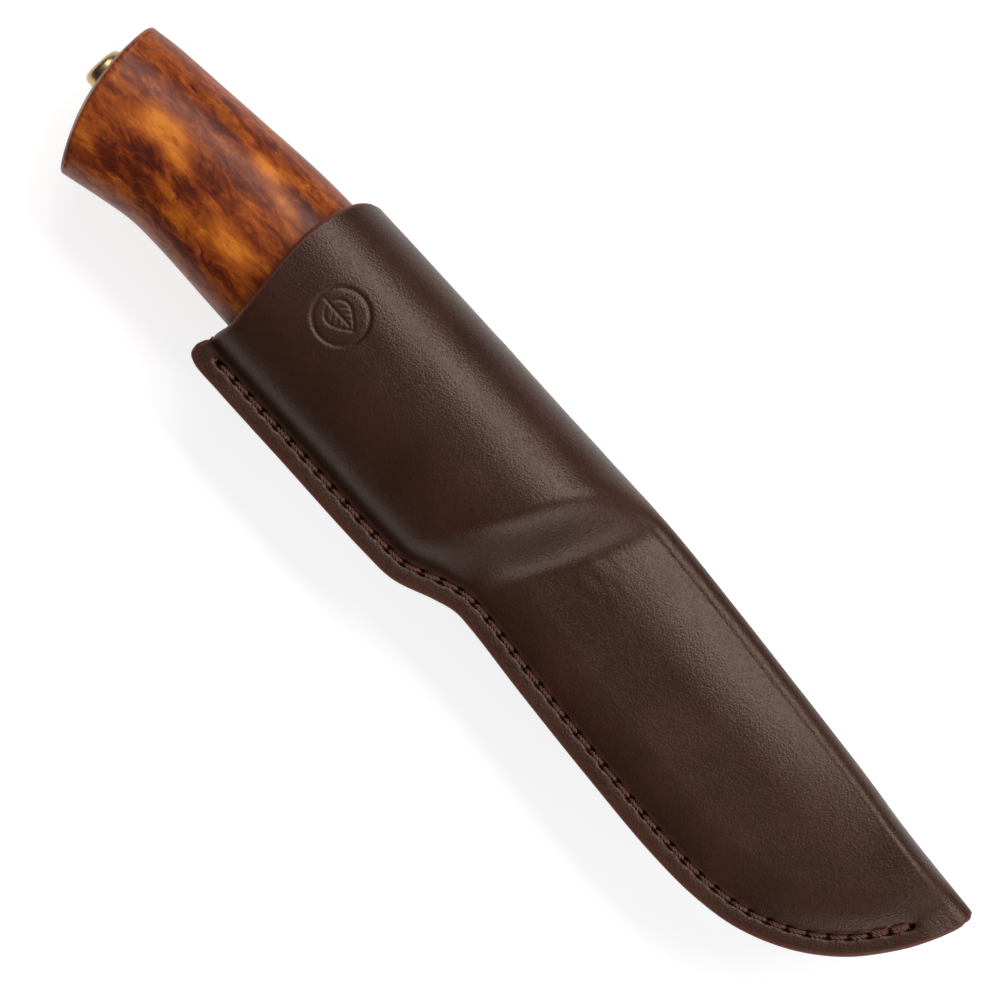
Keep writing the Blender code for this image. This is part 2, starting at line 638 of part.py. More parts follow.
def main():
    sheath_frame = add_empty("sheath_frame", (0.0, 0.0, 0.0))
    knife_frame = add_empty("knife_frame", (CAP_CROWN_X, TANG_Y, 0.0))

    leather = material("sheath_leather", (0.045, 0.024, 0.018), 0.5)
    edge_leather = material("edge_leather", (0.19, 0.055, 0.03), 0.6)
    thread = material("thread", (0.14, 0.04, 0.022), 0.75)
    wood = material("birch", (0.35, 0.1, 0.025), 0.35)
    steel = material("steel", (0.62, 0.62, 0.63), 0.28, 1.0)
    brass = material("brass", (0.62, 0.47, 0.24), 0.3, 1.0)

    centres, directions = stitch_line()
    stitch_cutter = make_stitch_cutter(sheath_frame, centres, directions)
    body = make_sheath_body(sheath_frame, leather)
    loop = make_belt_loop(sheath_frame, leather)
    welt = make_welt(sheath_frame, edge_leather)
    cut(body, stitch_cutter)
    cut(welt, stitch_cutter)
    make_tube("seam_thread_front", thread_path(centres, directions, 1), THREAD_RADIUS, sheath_frame, thread)
    make_tube("seam_thread_back", thread_path(centres, directions, -1), THREAD_RADIUS, sheath_frame, thread)
    for label, x in zip(("upper", "lower"), RIVET_X):
        cut_rivet_holes(body, loop, label, x, sheath_frame)
        make_rivet(sheath_frame, brass, label, x)

    tang_cutter = make_tang_cutter(knife_frame)
    handle = make_handle(knife_frame, wood)
    cut(handle, make_cap_cutter(knife_frame))
    cut(handle, tang_cutter)
    cut(make_bolster(knife_frame, brass), tang_cutter)
    cut(make_butt_cap(knife_frame, brass), tang_cutter)
    make_blade(knife_frame, steel)
    bpy.context.view_layer.update()


clear_scene()
PARTS = new_collection("sheath_knife")
CUTTERS = new_collection("sheath_knife_cutters")
main()
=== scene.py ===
"""The looks of the sheath knife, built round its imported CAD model.

Shapes are drawn in millimetres in a knife frame: +X runs to the blade's point, +Y to its spine and
+Z out of the sheath's front face, with Z = 0 in the seam's middle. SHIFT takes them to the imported
model's frame.
"""

import math

import bpy
import numpy as np
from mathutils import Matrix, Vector


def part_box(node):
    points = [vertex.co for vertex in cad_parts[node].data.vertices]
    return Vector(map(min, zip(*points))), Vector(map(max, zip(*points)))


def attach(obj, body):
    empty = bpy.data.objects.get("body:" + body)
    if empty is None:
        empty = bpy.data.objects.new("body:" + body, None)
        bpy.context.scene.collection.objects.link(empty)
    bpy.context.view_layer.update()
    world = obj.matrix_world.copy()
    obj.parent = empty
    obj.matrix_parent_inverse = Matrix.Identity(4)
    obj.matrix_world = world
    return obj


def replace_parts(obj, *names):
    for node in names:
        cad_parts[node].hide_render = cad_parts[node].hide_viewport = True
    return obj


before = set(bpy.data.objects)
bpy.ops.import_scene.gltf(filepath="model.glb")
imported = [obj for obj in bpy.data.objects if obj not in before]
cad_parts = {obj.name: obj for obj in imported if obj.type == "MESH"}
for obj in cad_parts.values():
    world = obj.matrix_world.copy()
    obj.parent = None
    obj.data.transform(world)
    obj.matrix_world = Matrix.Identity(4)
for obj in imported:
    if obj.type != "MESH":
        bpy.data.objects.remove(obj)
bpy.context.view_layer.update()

MM = 0.001

# ---- the CAD model's driving dimensions, millimetres ----
LEATHER = 2.3
SEAM_HALF = 3.7
TIP_HALF = 2.75
HANDLE_BULGE = 14.3
BLADE_BULGE = 5.6
BULGE_MID_Y = 0.2
BULGE_EDGE_POWER = 2.2
BULGE_SPINE_POWER = 2.4
CREASE_INSET = 5.6
FLANGE_WIDTH = 5.0
FACE_RISE = 9.0
FACE_RISE_POWER = 2.2
HANDLE_FOLD_REACH = 6.0
BLADE_FOLD_REACH = 3.5
SPINE_FALL = 2.6
SPINE_FALL_Y = 3.0
SPINE_FALL_POWER = 1.8
NOSE_START_X = -3.0
NOSE_SLANT = 0.42
NOSE_LENGTH = 16.0
BULGE_BLEND = 3.0
STITCH_INSET = 3.8
STITCH_PITCH = 3.94
STITCH_FIRST_X = -60.9
STITCH_LAST = (107.9, 4.6)
LOOP_Y = (-12.5, 13.5)
LOOP_FLAT_Z = 19.8
LOOP_TOP_TAB = (-65.0, -52.0)
LOOP_FLAT_X = (-45.0, 4.0)
LOOP_LOW_TAB = (20.0, 32.0)
LOOP_LEATHER = 2.3
LOOP_CUP = 0.06
GAP = 0.3
RIVET_X = (-58.5, 26.0)
RIVET_Y = 0.5
RIVET_CAP_R = 4.3
BUTT_BULGE = 3.2
BUTT_CROWN = 1.1
BOLSTER_X = (-9.5, -6.3)
BOLSTER_HALF = (12.6, 8.8)
BOLSTER_Y = -0.2
TANG_Y = -1.7
TANG_HALF_Z = 1.6
TANG_START_X = -6.3
TANG_END_X = -119.3
CAP_R = 4.25
CAP_BASE_X = -116.2
CAP_CROWN_X = -119.9
BLADE_HALF_Z = 1.6

SHEATH_EDGE = [(-67.0, -24.4), (-66.6, -25.8), (-65.0, -26.5), (-58.0, -26.6), (-40.0, -26.4),
               (-16.0, -26.1), (-8.0, -25.4), (0.0, -22.1), (4.5, -20.6), (9.0, -20.5), (24.0, -21.5),
               (46.0, -22.6), (64.0, -23.1), (76.0, -22.4), (86.0, -20.2), (96.0, -15.2), (104.0, -8.2),
               (109.9, 0.5), (112.3, 5.6), (114.2, 11.2), (114.65, 14.2)]
SHEATH_FOLD = [(-63.6, 20.0), (-30.0, 20.65), (0.0, 21.0), (20.0, 21.3), (40.0, 20.4), (60.0, 19.2),
               (80.0, 17.9), (92.0, 16.8), (100.0, 16.3), (114.1, 15.7)]
SHEATH_MOUTH = [(-67.0, -24.4), (-66.6, -22.8), (-65.5, -20.0), (-65.1, -16.5), (-66.2, -9.5),
                (-67.8, 0.0), (-68.35, 7.0), (-67.9, 12.0), (-66.7, 17.0), (-65.3, 19.0),
                (-63.6, 20.0)]
HANDLE_SPINE = [(-9.8, 12.0), (-16.0, 14.4), (-28.0, 16.4), (-48.0, 17.0), (-66.0, 16.6),
                (-76.0, 16.0), (-88.0, 14.6), (-100.0, 13.1), (-112.0, 11.6), (-117.7, 10.5)]
HANDLE_EDGE = [(-9.8, -12.2), (-17.0, -14.8), (-30.0, -16.4), (-50.0, -16.8), (-70.0, -16.8),
               (-86.0, -16.85), (-93.0, -17.3), (-100.0, -18.9), (-108.3, -21.2)]
HANDLE_HALF_DEPTH = [(-9.8, 9.0), (-17.0, 10.6), (-34.0, 11.7), (-60.0, 11.8), (-90.0, 12.0),
                     (-119.0, 12.3)]
BLADE_SPINE = [(-6.0, 11.6), (66.0, 12.0), (90.0, 11.4), (102.0, 8.8)]
BLADE_EDGE = [(-6.0, -12.4), (58.0, -13.0), (72.0, -12.0), (84.0, -8.4), (94.0, -1.8), (99.5, 4.2),
              (102.0, 8.5)]
TANG_HALF_WIDTH = [(-6.3, 6.2), (-60.0, 4.2), (-112.0, 2.2), (-119.3, 1.6)]


# ---- curves and small maths ----
def mix(a, b, t):
    return a + (b - a) * t


def smoothstep(low, high, value):
    t = np.clip((value - low) / (high - low), 0.0, 1.0)
    return t * t * (3.0 - 2.0 * t)


def bell(value, width):
    return np.exp(-(value / width) ** 2)


def smooth_points(points, count):
    """A smooth curve through the points, as count points evenly spaced along it."""
    pts = np.array(points, dtype=float)
    ends = np.vstack([2 * pts[0] - pts[1], pts, 2 * pts[-1] - pts[-2]])
    dense = []
    for i in range(1, len(ends) - 2):
        p0, p1, p2, p3 = ends[i - 1:i + 3]
        steps = [max(math.dist(a, b), 1e-9) ** 0.5 for a, b in ((p0, p1), (p1, p2), (p2, p3))]
        knot = np.cumsum([0.0] + steps)
        for t in np.linspace(knot[1], knot[2], 24, endpoint=False):
            a1 = mix(p0, p1, (t - knot[0]) / (knot[1] - knot[0]))
            a2 = mix(p1, p2, (t - knot[1]) / (knot[2] - knot[1]))
            a3 = mix(p2, p3, (t - knot[2]) / (knot[3] - knot[2]))
            b1 = mix(a1, a2, (t - knot[0]) / (knot[2] - knot[0]))
            b2 = mix(a2, a3, (t - knot[1]) / (knot[3] - knot[1]))
            dense.append(mix(b1, b2, (t - knot[1]) / (knot[2] - knot[1])))
    dense = np.array(dense + [pts[-1]])
    walked = np.concatenate([[0.0], np.cumsum(np.linalg.norm(np.diff(dense, axis=0), axis=1))])
    wanted = np.linspace(0.0, walked[-1], count)
    return np.stack([np.interp(wanted, walked, dense[:, k]) for k in range(dense.shape[1])], axis=1)


def inward_normals(line):
    ahead = np.gradient(line, axis=0)
    ahead /= np.linalg.norm(ahead, axis=1)[:, None]
    return np.stack([-ahead[:, 1], ahead[:, 0]], axis=1)


def line_at(points, x):
    """Height of a smooth outline at x."""
    curve = smooth_points(points, 400)
    order = np.argsort(curve[:, 0])
    return np.interp(x, curve[order, 0], curve[order, 1])


def value_noise(x, y, cell, seed):
    """Smooth random relief between -1 and 1 whose bumps are about cell across."""
    table = np.random.default_rng(seed).uniform(-1.0, 1.0, (64, 64))
    u, v = x / cell + 1000.0, y / cell + 1000.0
    i, j = np.floor(u).astype(int), np.floor(v).astype(int)
    fu, fv = u - i, v - j
    fu, fv = fu * fu * (3 - 2 * fu), fv * fv * (3 - 2 * fv)
    at = lambda a, b: table[a % 64, b % 64]
    return mix(mix(at(i, j), at(i + 1, j), fu), mix(at(i, j + 1), at(i + 1, j + 1), fu), fv)


EDGE_LINE = smooth_points([(-80.0, -26.6)] + SHEATH_EDGE[3:], 300)
FOLD_LINE = smooth_points(SHEATH_FOLD, 300)
sheath_low, sheath_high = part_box("sheath_body")
SHIFT = np.array([sheath_high[0] / MM - SHEATH_EDGE[-1][0], sheath_high[1] / MM - FOLD_LINE[:, 1].max(),
                  (sheath_low[2] + sheath_high[2]) / MM / 2.0])


# ---- the sheath's form ----
def edge_distance(x, y):
    """Distance in from the sheath's long edge."""
    a = EDGE_LINE[:-1]
    step = EDGE_LINE[1:] - a
    square = (step * step).sum(axis=1)
    flat_x, flat_y = np.ravel(x), np.ravel(y)
    found = np.empty(flat_x.shape)
    block = 8000
    for k in range(0, len(flat_x), block):
        to_x = flat_x[k:k + block, None] - a[:, 0]
        to_y = flat_y[k:k + block, None] - a[:, 1]
        t = np.clip((to_x * step[:, 0] + to_y * step[:, 1]) / square, 0.0, 1.0)
        away = (to_x - t * step[:, 0]) ** 2 + (to_y - t * step[:, 1]) ** 2
        found[k:k + block] = np.sqrt(away.min(axis=1))
    return found.reshape(np.shape(x))


def bulge_drop(x, y):
    """1 over the handle, 0 over the blade, with a slanted S-shaped nose between."""
    start = NOSE_START_X + NOSE_SLANT * y
    return 1.0 - smoothstep(0.0, NOSE_LENGTH, x - start)


def fold_reach(x, y):
    return mix(BLADE_FOLD_REACH, HANDLE_FOLD_REACH, bulge_drop(x, y))


def sheath_height(x, y):
    """Height of the front leather's outer face over the seam's middle plane."""
    inset = edge_distance(x, y)
    fold = np.interp(x, FOLD_LINE[:, 0], FOLD_LINE[:, 1])
    from_tip = np.hypot(x - SHEATH_EDGE[-1][0], y - SHEATH_FOLD[-1][1])
    seam = mix(TIP_HALF, SEAM_HALF, smoothstep(2.0, 11.0, from_tip))
    inward = np.clip((inset - FLANGE_WIDTH) / FACE_RISE, 0.0, 1.0)
    rise = (1.0 - (1.0 - inward) ** FACE_RISE_POWER) * smoothstep(3.0, 18.0, from_tip)
    towards_fold = np.clip((y - SPINE_FALL_Y) / (fold - BLADE_FOLD_REACH - SPINE_FALL_Y), 0.0, 1.0)
    fall = SPINE_FALL * towards_fold ** SPINE_FALL_POWER * smoothstep(10.0, 70.0, from_tip)
    depth = np.clip((fold - y) / BLADE_FOLD_REACH, 0.0, 1.0)
    face = seam + (BLADE_BULGE - SEAM_HALF) * rise - fall
    face *= np.sqrt(1.0 - (1.0 - depth) ** 2)
    edge_side = y < BULGE_MID_Y
    from_crown = np.abs(y - BULGE_MID_Y)
    to_foot = np.maximum(np.where(edge_side, inset - CREASE_INSET, fold - y), 0.0)
    across = from_crown / np.maximum(from_crown + to_foot, 0.01)
    power = np.where(edge_side, BULGE_EDGE_POWER, BULGE_SPINE_POWER)
    bulge = HANDLE_BULGE * (1.0 - across ** power) ** (1.0 / power)
    over_handle = (face ** BULGE_BLEND + bulge ** BULGE_BLEND) ** (1.0 / BULGE_BLEND)
    return mix(face, over_handle, bulge_drop(x, y))


def stitch_line():
    """Hole centres and stitch directions along the seam, one pitch apart."""
    edge = smooth_points(SHEATH_EDGE, 900)
    line = edge + inward_normals(edge) * STITCH_INSET
    start = int(np.argmax((line[:, 0] > STITCH_FIRST_X) & (edge[:, 0] > -62.0)))
    end = int(np.argmin(np.linalg.norm(line - np.array(STITCH_LAST), axis=1)))
    line = line[start:end + 1]
    length = float(np.linalg.norm(np.diff(line, axis=0), axis=1).sum())
    count = round(length / STITCH_PITCH) + 1
    centres = smooth_points(line[::6].tolist() + [line[-1].tolist()], count)
    directions = np.gradient(centres, axis=0)
    directions /= np.linalg.norm(directions, axis=1)[:, None]
    return centres, directions


CENTRES, DIRECTIONS = stitch_line()
HOLE_HALF = (1.05, 0.6)
GROOVE_DEPTH = 0.22
PIT_DEPTH = 1.7
THREAD_LIFT = 0.16
LOCK_ASIDE = 0.62
PLY_RADIUS = 0.215
PLY_LAY = 0.195
PLY_TURN = 1.7
EMBLEM_AT = (-52.0, 0.6)
EMBLEM_R = 5.6


def stitch_relief(x, y):
    """Depth of the stitch holes and of the groove that the thread is pulled into, and a hole mask."""
    depth = np.zeros(np.shape(x))
    mask = np.zeros(np.shape(x))
    for (cx, cy), (dx, dy) in zip(CENTRES, DIRECTIONS):
        near = (np.abs(x - cx) < 3.4) & (np.abs(y - cy) < 3.4)
        along = (x[near] - cx) * dx + (y[near] - cy) * dy
        aside = (y[near] - cy) * dx - (x[near] - cx) * dy
        reach = np.hypot(along / HOLE_HALF[0], aside / HOLE_HALF[1])
        hole = 1.0 - smoothstep(0.72, 1.12, reach)
        dimple = 0.16 * np.exp(-(reach / 1.7) ** 2)
        groove = GROOVE_DEPTH * bell(aside, 0.55) * (1.0 - smoothstep(1.6, 2.2, np.abs(along)))
        depth[near] = np.maximum(depth[near], PIT_DEPTH * hole + dimple + groove * (1.0 - hole))
        mask[near] = np.maximum(mask[near], hole)
    return depth, mask


def emblem_relief(x, y):
    """A plain birch leaf in a ring, pressed into the leather."""
    u, v = x - EMBLEM_AT[0], y - EMBLEM_AT[1]
    reach = np.hypot(u, v)
    floor = 0.12 * (1.0 - smoothstep(EMBLEM_R - 0.5, EMBLEM_R + 0.1, reach))
    ring = 0.30 * bell(reach - EMBLEM_R, 0.38)
    t = np.clip((u + 3.6) / 7.2, 0.0, 1.0)
    half = 2.7 * np.sin(np.pi * t ** 0.7)
    on_leaf = (t > 0.0) & (t < 1.0)
    inside = smoothstep(0.0, 0.5, half - np.abs(v)) * on_leaf
    outline = 0.24 * bell(np.abs(v) - half, 0.28) * on_leaf
    midrib = 0.26 * bell(v, 0.24) * smoothstep(-5.0, -4.5, u) * (1.0 - smoothstep(2.2, 2.8, u))
    veins = np.zeros(np.shape(u))
    for root in (-2.2, -0.7, 0.8):
        veins = np.maximum(veins, 0.17 * bell(u - root - 0.8 * np.abs(v), 0.22) * inside)
    return floor + np.maximum(ring, np.maximum(np.maximum(outline, midrib), veins))


def leather_relief(x, y, front):
    """How far the moulded leather's face is pressed in, and the hole mask."""
    depth, mask = stitch_relief(x, y)
    inset = edge_distance(x, y)
    welt_print = smoothstep(46.0, 60.0, x) * (1.0 - smoothstep(100.0, 106.0, x))
    depth = depth + 0.07 * bell(inset - 6.1, 0.22) * welt_print
    waves = 0.08 * value_noise(x, y, 13.0, 3) + 0.025 * value_noise(x, y, 4.5, 4)
    creases = 0.05 * value_noise(x * 0.5 + y * 0.8, y * 0.9 - x * 0.4, 1.9, 5)
    creases *= bell(x - 17.0, 8.0) * bell(y - 5.0, 7.0)
    depth = depth + (waves * smoothstep(5.0, 12.0, inset) + creases) * (1.0 - mask)
    if front:
        depth = depth + emblem_relief(x, y)
    return depth, mask


# ---- mesh helpers ----
def grid_quads(rows, columns, first=0, closed=False):
    """Quads of a grid of vertices. A closed grid joins its last column to its first."""
    strips = columns if closed else columns - 1
    i, j = np.meshgrid(np.arange(rows - 1), np.arange(strips), indexing="ij")
    a = first + i * columns + j
    b = first + i * columns + (j + 1) % columns
    return np.stack([a, a + columns, b + columns, b], axis=-1).reshape(-1, 4)


def make_mesh(name, points, faces, mat, layers=None, sharp=None):
    """A mesh from knife-frame millimetres. layers are float attributes that the material reads."""
    mesh = bpy.data.meshes.new(name)
    placed = ((np.asarray(points) + SHIFT) * MM).tolist()
    mesh.from_pydata(placed, [], [tuple(map(int, f)) for f in faces])
    for layer, values in (layers or {}).items():
        attribute = mesh.attributes.new(layer, "FLOAT", "POINT")
        attribute.data.foreach_set("value", np.asarray(values, np.float32))
    mesh.shade_smooth()
    if sharp:
        mesh.set_sharp_from_angle(angle=math.radians(sharp))
    mesh.materials.append(mat)
    obj = bpy.data.objects.new(name, mesh)
    bpy.context.scene.collection.objects.link(obj)
    return obj


def grid_normals(grid):
    along = np.gradient(grid, axis=0)
    across = np.gradient(grid, axis=1)
    normal = np.cross(along, across)
    return normal / np.maximum(np.linalg.norm(normal, axis=2), 1e-9)[:, :, None]


def border(rows, columns):
    """Grid places once round the border."""
    loop = [(0, j) for j in range(columns - 1)] + [(i, columns - 1) for i in range(rows - 1)]
    loop += [(rows - 1, j) for j in range(columns - 1, 0, -1)]
    loop += [(i, 0) for i in range(rows - 1, 0, -1)]
    return loop


def leather_shell(name, base, relief, thickness, rim, mat, layers, coarse=3):
    """A closed sheet of leather: a fine outer face, a coarse flesh face and a rounded cut edge.

    base is the smooth outer face as a grid, relief how far each point is pressed in, rim how far the
    cut edge's rounding stands out, and layers the outer face's attributes.
    """
    rows, columns = base.shape[:2]
    normal = grid_normals(base)
    outer = base - normal * relief[:, :, None]
    loop = border(rows, columns)
    li, lj = np.array(loop).T
    top = outer[li, lj]
    bottom = (base - normal * thickness)[li, lj]
    inward_i = np.clip(li, 1, rows - 2)
    inward_j = np.clip(lj, 1, columns - 2)
    out = base[li, lj] - base[inward_i, inward_j]
    rim_line = np.roll(base[li, lj], -1, axis=0) - np.roll(base[li, lj], 1, axis=0)
    rim_line /= np.maximum(np.linalg.norm(rim_line, axis=1), 1e-9)[:, None]
    for direction in (rim_line, normal[li, lj]):
        out -= direction * (out * direction).sum(axis=1)[:, None]
    out /= np.maximum(np.linalg.norm(out, axis=1), 1e-9)[:, None]
    count = len(loop)
    points = [outer.reshape(-1, 3)]
    faces = [tuple(f) for f in grid_quads(rows, columns)]
    ring = [i * columns + j for i, j in loop]
    start = rows * columns
    angles = np.radians([60.0, 30.0, 0.0, -30.0, -60.0, -90.0])
    for angle in angles:
        middle = (top + bottom) / 2.0
        lift = math.copysign(abs(math.sin(angle)) ** 0.75, math.sin(angle))
        points.append(middle + (top - middle) * lift + out * rim * math.cos(angle) ** 0.8)
        new = list(range(start, start + count))
        for k in range(count):
            n = (k + 1) % count
            faces.append((ring[k], ring[n], new[n], new[k]))
        ring = new
        start += count
    place = {loop[k]: ring[k] for k in range(count)}
    inner = (base - normal * thickness)[::coarse, ::coarse]
    inner_rows, inner_columns = inner.shape[:2]
    flesh = []
    for i in range(1, inner_rows - 1):
        for j in range(1, inner_columns - 1):
            place[(i * coarse, j * coarse)] = start + len(flesh)
            flesh.append(inner[i, j])
    points.append(np.array(flesh))

    def side(i0, j0, i1, j1):
        on_border = (i0 == i1 and i0 in (0, rows - 1)) or (j0 == j1 and j0 in (0, columns - 1))
        steps = coarse if on_border else 1
        return [place[(i0 + (i1 - i0) * k // steps, j0 + (j1 - j0) * k // steps)] for k in range(steps)]

    for i in range(0, rows - 1, coarse):
        for j in range(0, columns - 1, coarse):
            a, b = i + coarse, j + coarse
            around = side(i, j, i, b) + side(i, b, a, b) + side(a, b, a, j) + side(a, j, i, j)
            faces.append(tuple(around))
    points = np.concatenate(points)
    values = {}
    for layer, fine in layers.items():
        full = np.zeros(len(points))
        full[:rows * columns] = fine.ravel()
        values[layer] = full
    cut = np.zeros(len(points))
    cut[rows * columns:rows * columns + count * (len(angles) - 1)] = 1.0
    cut[:rows * columns] = layers.get("cut", np.zeros((rows, columns))).ravel()
    values["cut"] = cut
    return make_mesh(name, points, faces, mat, values)


def path_frames(path):
    """Two directions across a path at each of its points, turning as little as they can."""
    tangent = np.gradient(path, axis=0)
    tangent /= np.linalg.norm(tangent, axis=1)[:, None]
    first = np.cross(tangent[0], (0.0, 0.0, 1.0))
    if np.linalg.norm(first) < 0.1:
        first = np.cross(tangent[0], (0.0, 1.0, 0.0))
    frames = [first / np.linalg.norm(first)]
    for t in tangent[1:]:
        n = frames[-1] - t * np.dot(frames[-1], t)
        frames.append(n / np.linalg.norm(n))
    return np.array(frames), np.cross(tangent, frames)


def ply_thread(name, paths, ply_radius, lay_radius, turn_length, plies, mat):
    """A twisted thread: plies wound round each path, as one mesh of closed tubes."""
    points, faces = [], []
    start = 0
    sides = 7
    for path in paths:
        n1, n2 = path_frames(path)
        walked = np.concatenate([[0.0], np.cumsum(np.linalg.norm(np.diff(path, axis=0), axis=1))])
        for ply in range(plies):
            turn = 2.0 * math.pi * (walked / turn_length + ply / plies)
            centre = path + lay_radius * (np.cos(turn)[:, None] * n1 + np.sin(turn)[:, None] * n2)
            ring = 2.0 * math.pi * np.arange(sides) / sides
            around = np.cos(ring)[:, None] * n1[:, None] + np.sin(ring)[:, None] * n2[:, None]
            points.append((centre[:, None] + around * ply_radius).reshape(-1, 3))
            faces += [tuple(f[::-1]) for f in grid_quads(len(path), sides, start, closed=True)]
            faces.append(tuple(range(start, start + sides)))
            last = start + (len(path) - 1) * sides
            faces.append(tuple(range(last + sides - 1, last - 1, -1)))
            start += len(path) * sides
    return make_mesh(name, np.concatenate(points), faces, mat)


# ---- material helpers ----
class Nodes:
    """A short way to lay out one material's nodes round its Principled shader."""

    def __init__(self, name):
        self.material = bpy.data.materials.new(name)
        self.material.use_nodes = True
        self.tree = self.material.node_tree
        self.shader = self.tree.nodes["Principled BSDF"]
        self.place = self.add("ShaderNodeTexCoord").outputs["Object"]

    def add(self, kind, inputs=None, **settings):
        node = self.tree.nodes.new(kind)
        for key, value in settings.items():
            setattr(node, key, value)
        for key, value in (inputs or {}).items():
            if isinstance(value, bpy.types.NodeSocket):
                self.tree.links.new(value, node.inputs[key])
            else:
                node.inputs[key].default_value = value
        return node

    def set(self, **inputs):
        for key, value in inputs.items():
            socket = self.shader.inputs[key.replace("_", " ")]
            if isinstance(value, bpy.types.NodeSocket):
                self.tree.links.new(value, socket)
            else:
                socket.default_value = value

    def stretched(self, scale, turn=(0.0, 0.0, 0.0)):
        inputs = {"Vector": self.place, "Scale": scale, "Rotation": turn}
        return self.add("ShaderNodeMapping", inputs).outputs[0]

    def noise(self, vector, scale=1.0, detail=3.0, roughness=0.55, distortion=0.0):
        values = {"Vector": vector, "Scale": scale, "Detail": detail, "Roughness": roughness,
                  "Distortion": distortion}
        return self.add("ShaderNodeTexNoise", values).outputs[0]

    def math(self, operation, a, b=0.0, c=0.0):
        node = self.add("ShaderNodeMath", {0: a, 1: b, 2: c}, operation=operation)
        return node.outputs[0]

    def range(self, value, low, high, to_low=0.0, to_high=1.0):
        values = {"Value": value, "From Min": low, "From Max": high, "To Min": to_low, "To Max": to_high}
        return self.add("ShaderNodeMapRange", values, interpolation_type="SMOOTHSTEP").outputs[0]

    def ramp(self, value, stops):
        node = self.add("ShaderNodeValToRGB", {"Fac": value})
        elements = node.color_ramp.elements
        while len(elements) < len(stops):
            elements.new(0.5)
        for element, (position, colour) in zip(elements, stops):
            element.position = position
            element.color = (*colour, 1.0)
        return node.outputs["Color"]

    def blend(self, factor, a, b, mode="MIX"):
        node = self.add("ShaderNodeMix", data_type="RGBA", blend_type=mode)
        for index, value in ((0, factor), (6, a), (7, b)):
            if isinstance(value, bpy.types.NodeSocket):
                self.tree.links.new(value, node.inputs[index])
            else:
                node.inputs[index].default_value = value if index == 0 else (*value, 1.0)
        return node.outputs[2]

    def layer(self, name):
        return self.add("ShaderNodeAttribute", attribute_name=name).outputs["Fac"]

    def bump(self, height, distance, strength=1.0, after=None):
        values = {"Height": height, "Distance": distance, "Strength": strength}
        if after is not None:
            values["Normal"] = after
        return self.add("ShaderNodeBump", values).outputs[0]


def leather_material(name, grain):
    """Dark brown leather: fine pebbled grain, soft clouds of tone, reddish cut edges, and painted shade
    that makes the stitch holes nearly black.
    """
    n = Nodes(name)
    warp = n.add("ShaderNodeTexNoise", {"Vector": n.place, "Scale": 1600.0}).outputs[1]
    shift = n.add("ShaderNodeVectorMath", {0: warp, 3: 0.0003}, operation="SCALE").outputs[0]
    place = n.add("ShaderNodeVectorMath", {0: n.place, 1: shift}, operation="ADD").outputs[0]
    cells = n.add("ShaderNodeTexVoronoi", {"Vector": place, "Scale": 2250.0, "Smoothness": 0.6},
                  feature="SMOOTH_F1").outputs["Distance"]
    swell = n.noise(n.place, 820.0, 3.0, 0.6)
    fine = n.noise(n.place, 5200.0, 3.0, 0.6)
    cloud = n.noise(n.place, 60.0, 4.0, 0.6)
    colour = n.blend(n.range(cloud, 0.3, 0.7), (0.026, 0.0088, 0.0048), (0.038, 0.0136, 0.0077))
    colour = n.blend(n.range(cells, 0.35, 0.8, 0.0, 0.30), colour, (0.014, 0.005, 0.003))
    colour = n.blend(n.range(fine, 0.35, 0.75, 0.0, 0.20), colour, (0.058, 0.024, 0.015))
    cut = n.layer("cut")
    colour = n.blend(n.math("MULTIPLY", cut, 0.75), colour, (0.120, 0.034, 0.021))
    # painted shade: the stitch holes are darkened nearly to black
    colour = n.blend(n.layer("hole_shade"), colour, (0.004, 0.0018, 0.0012))
    uneven = n.math("MULTIPLY_ADD", swell, 0.5, n.math("MULTIPLY", cloud, 0.5))
    rough = n.range(uneven, 0.35, 0.65, 0.34, 0.43)
    rough = n.math("MULTIPLY_ADD", cut, 0.1, rough)
    pebble = n.bump(cells, 0.00006 * grain, 0.8)
    pebble = n.bump(swell, 0.00013 * grain, 0.35, pebble)
    skin = n.bump(fine, 0.000025 * grain, 0.5, pebble)
    n.set(Base_Color=colour, Roughness=rough, Normal=skin, Specular_IOR_Level=0.38,
          Specular_Tint=(1.0, 0.80, 0.70, 1.0))
    return n.material


def thread_material():
    """Reddish-brown waxed thread with fine fibres along it."""
    n = Nodes("twisted_thread")
    fibre = n.noise(n.place, 9000.0, 2.0, 0.6)
    cloud = n.noise(n.place, 260.0, 2.0)
    colour = n.blend(n.range(fibre, 0.3, 0.7), (0.060, 0.014, 0.007), (0.180, 0.050, 0.024))
    colour = n.blend(n.range(cloud, 0.35, 0.7, 0.0, 0.35), colour, (0.050, 0.015, 0.009))
    n.set(Base_Color=colour, Roughness=0.72, Normal=n.bump(fibre, 0.00008, 0.8), Sheen_Weight=0.15)
    return n.material
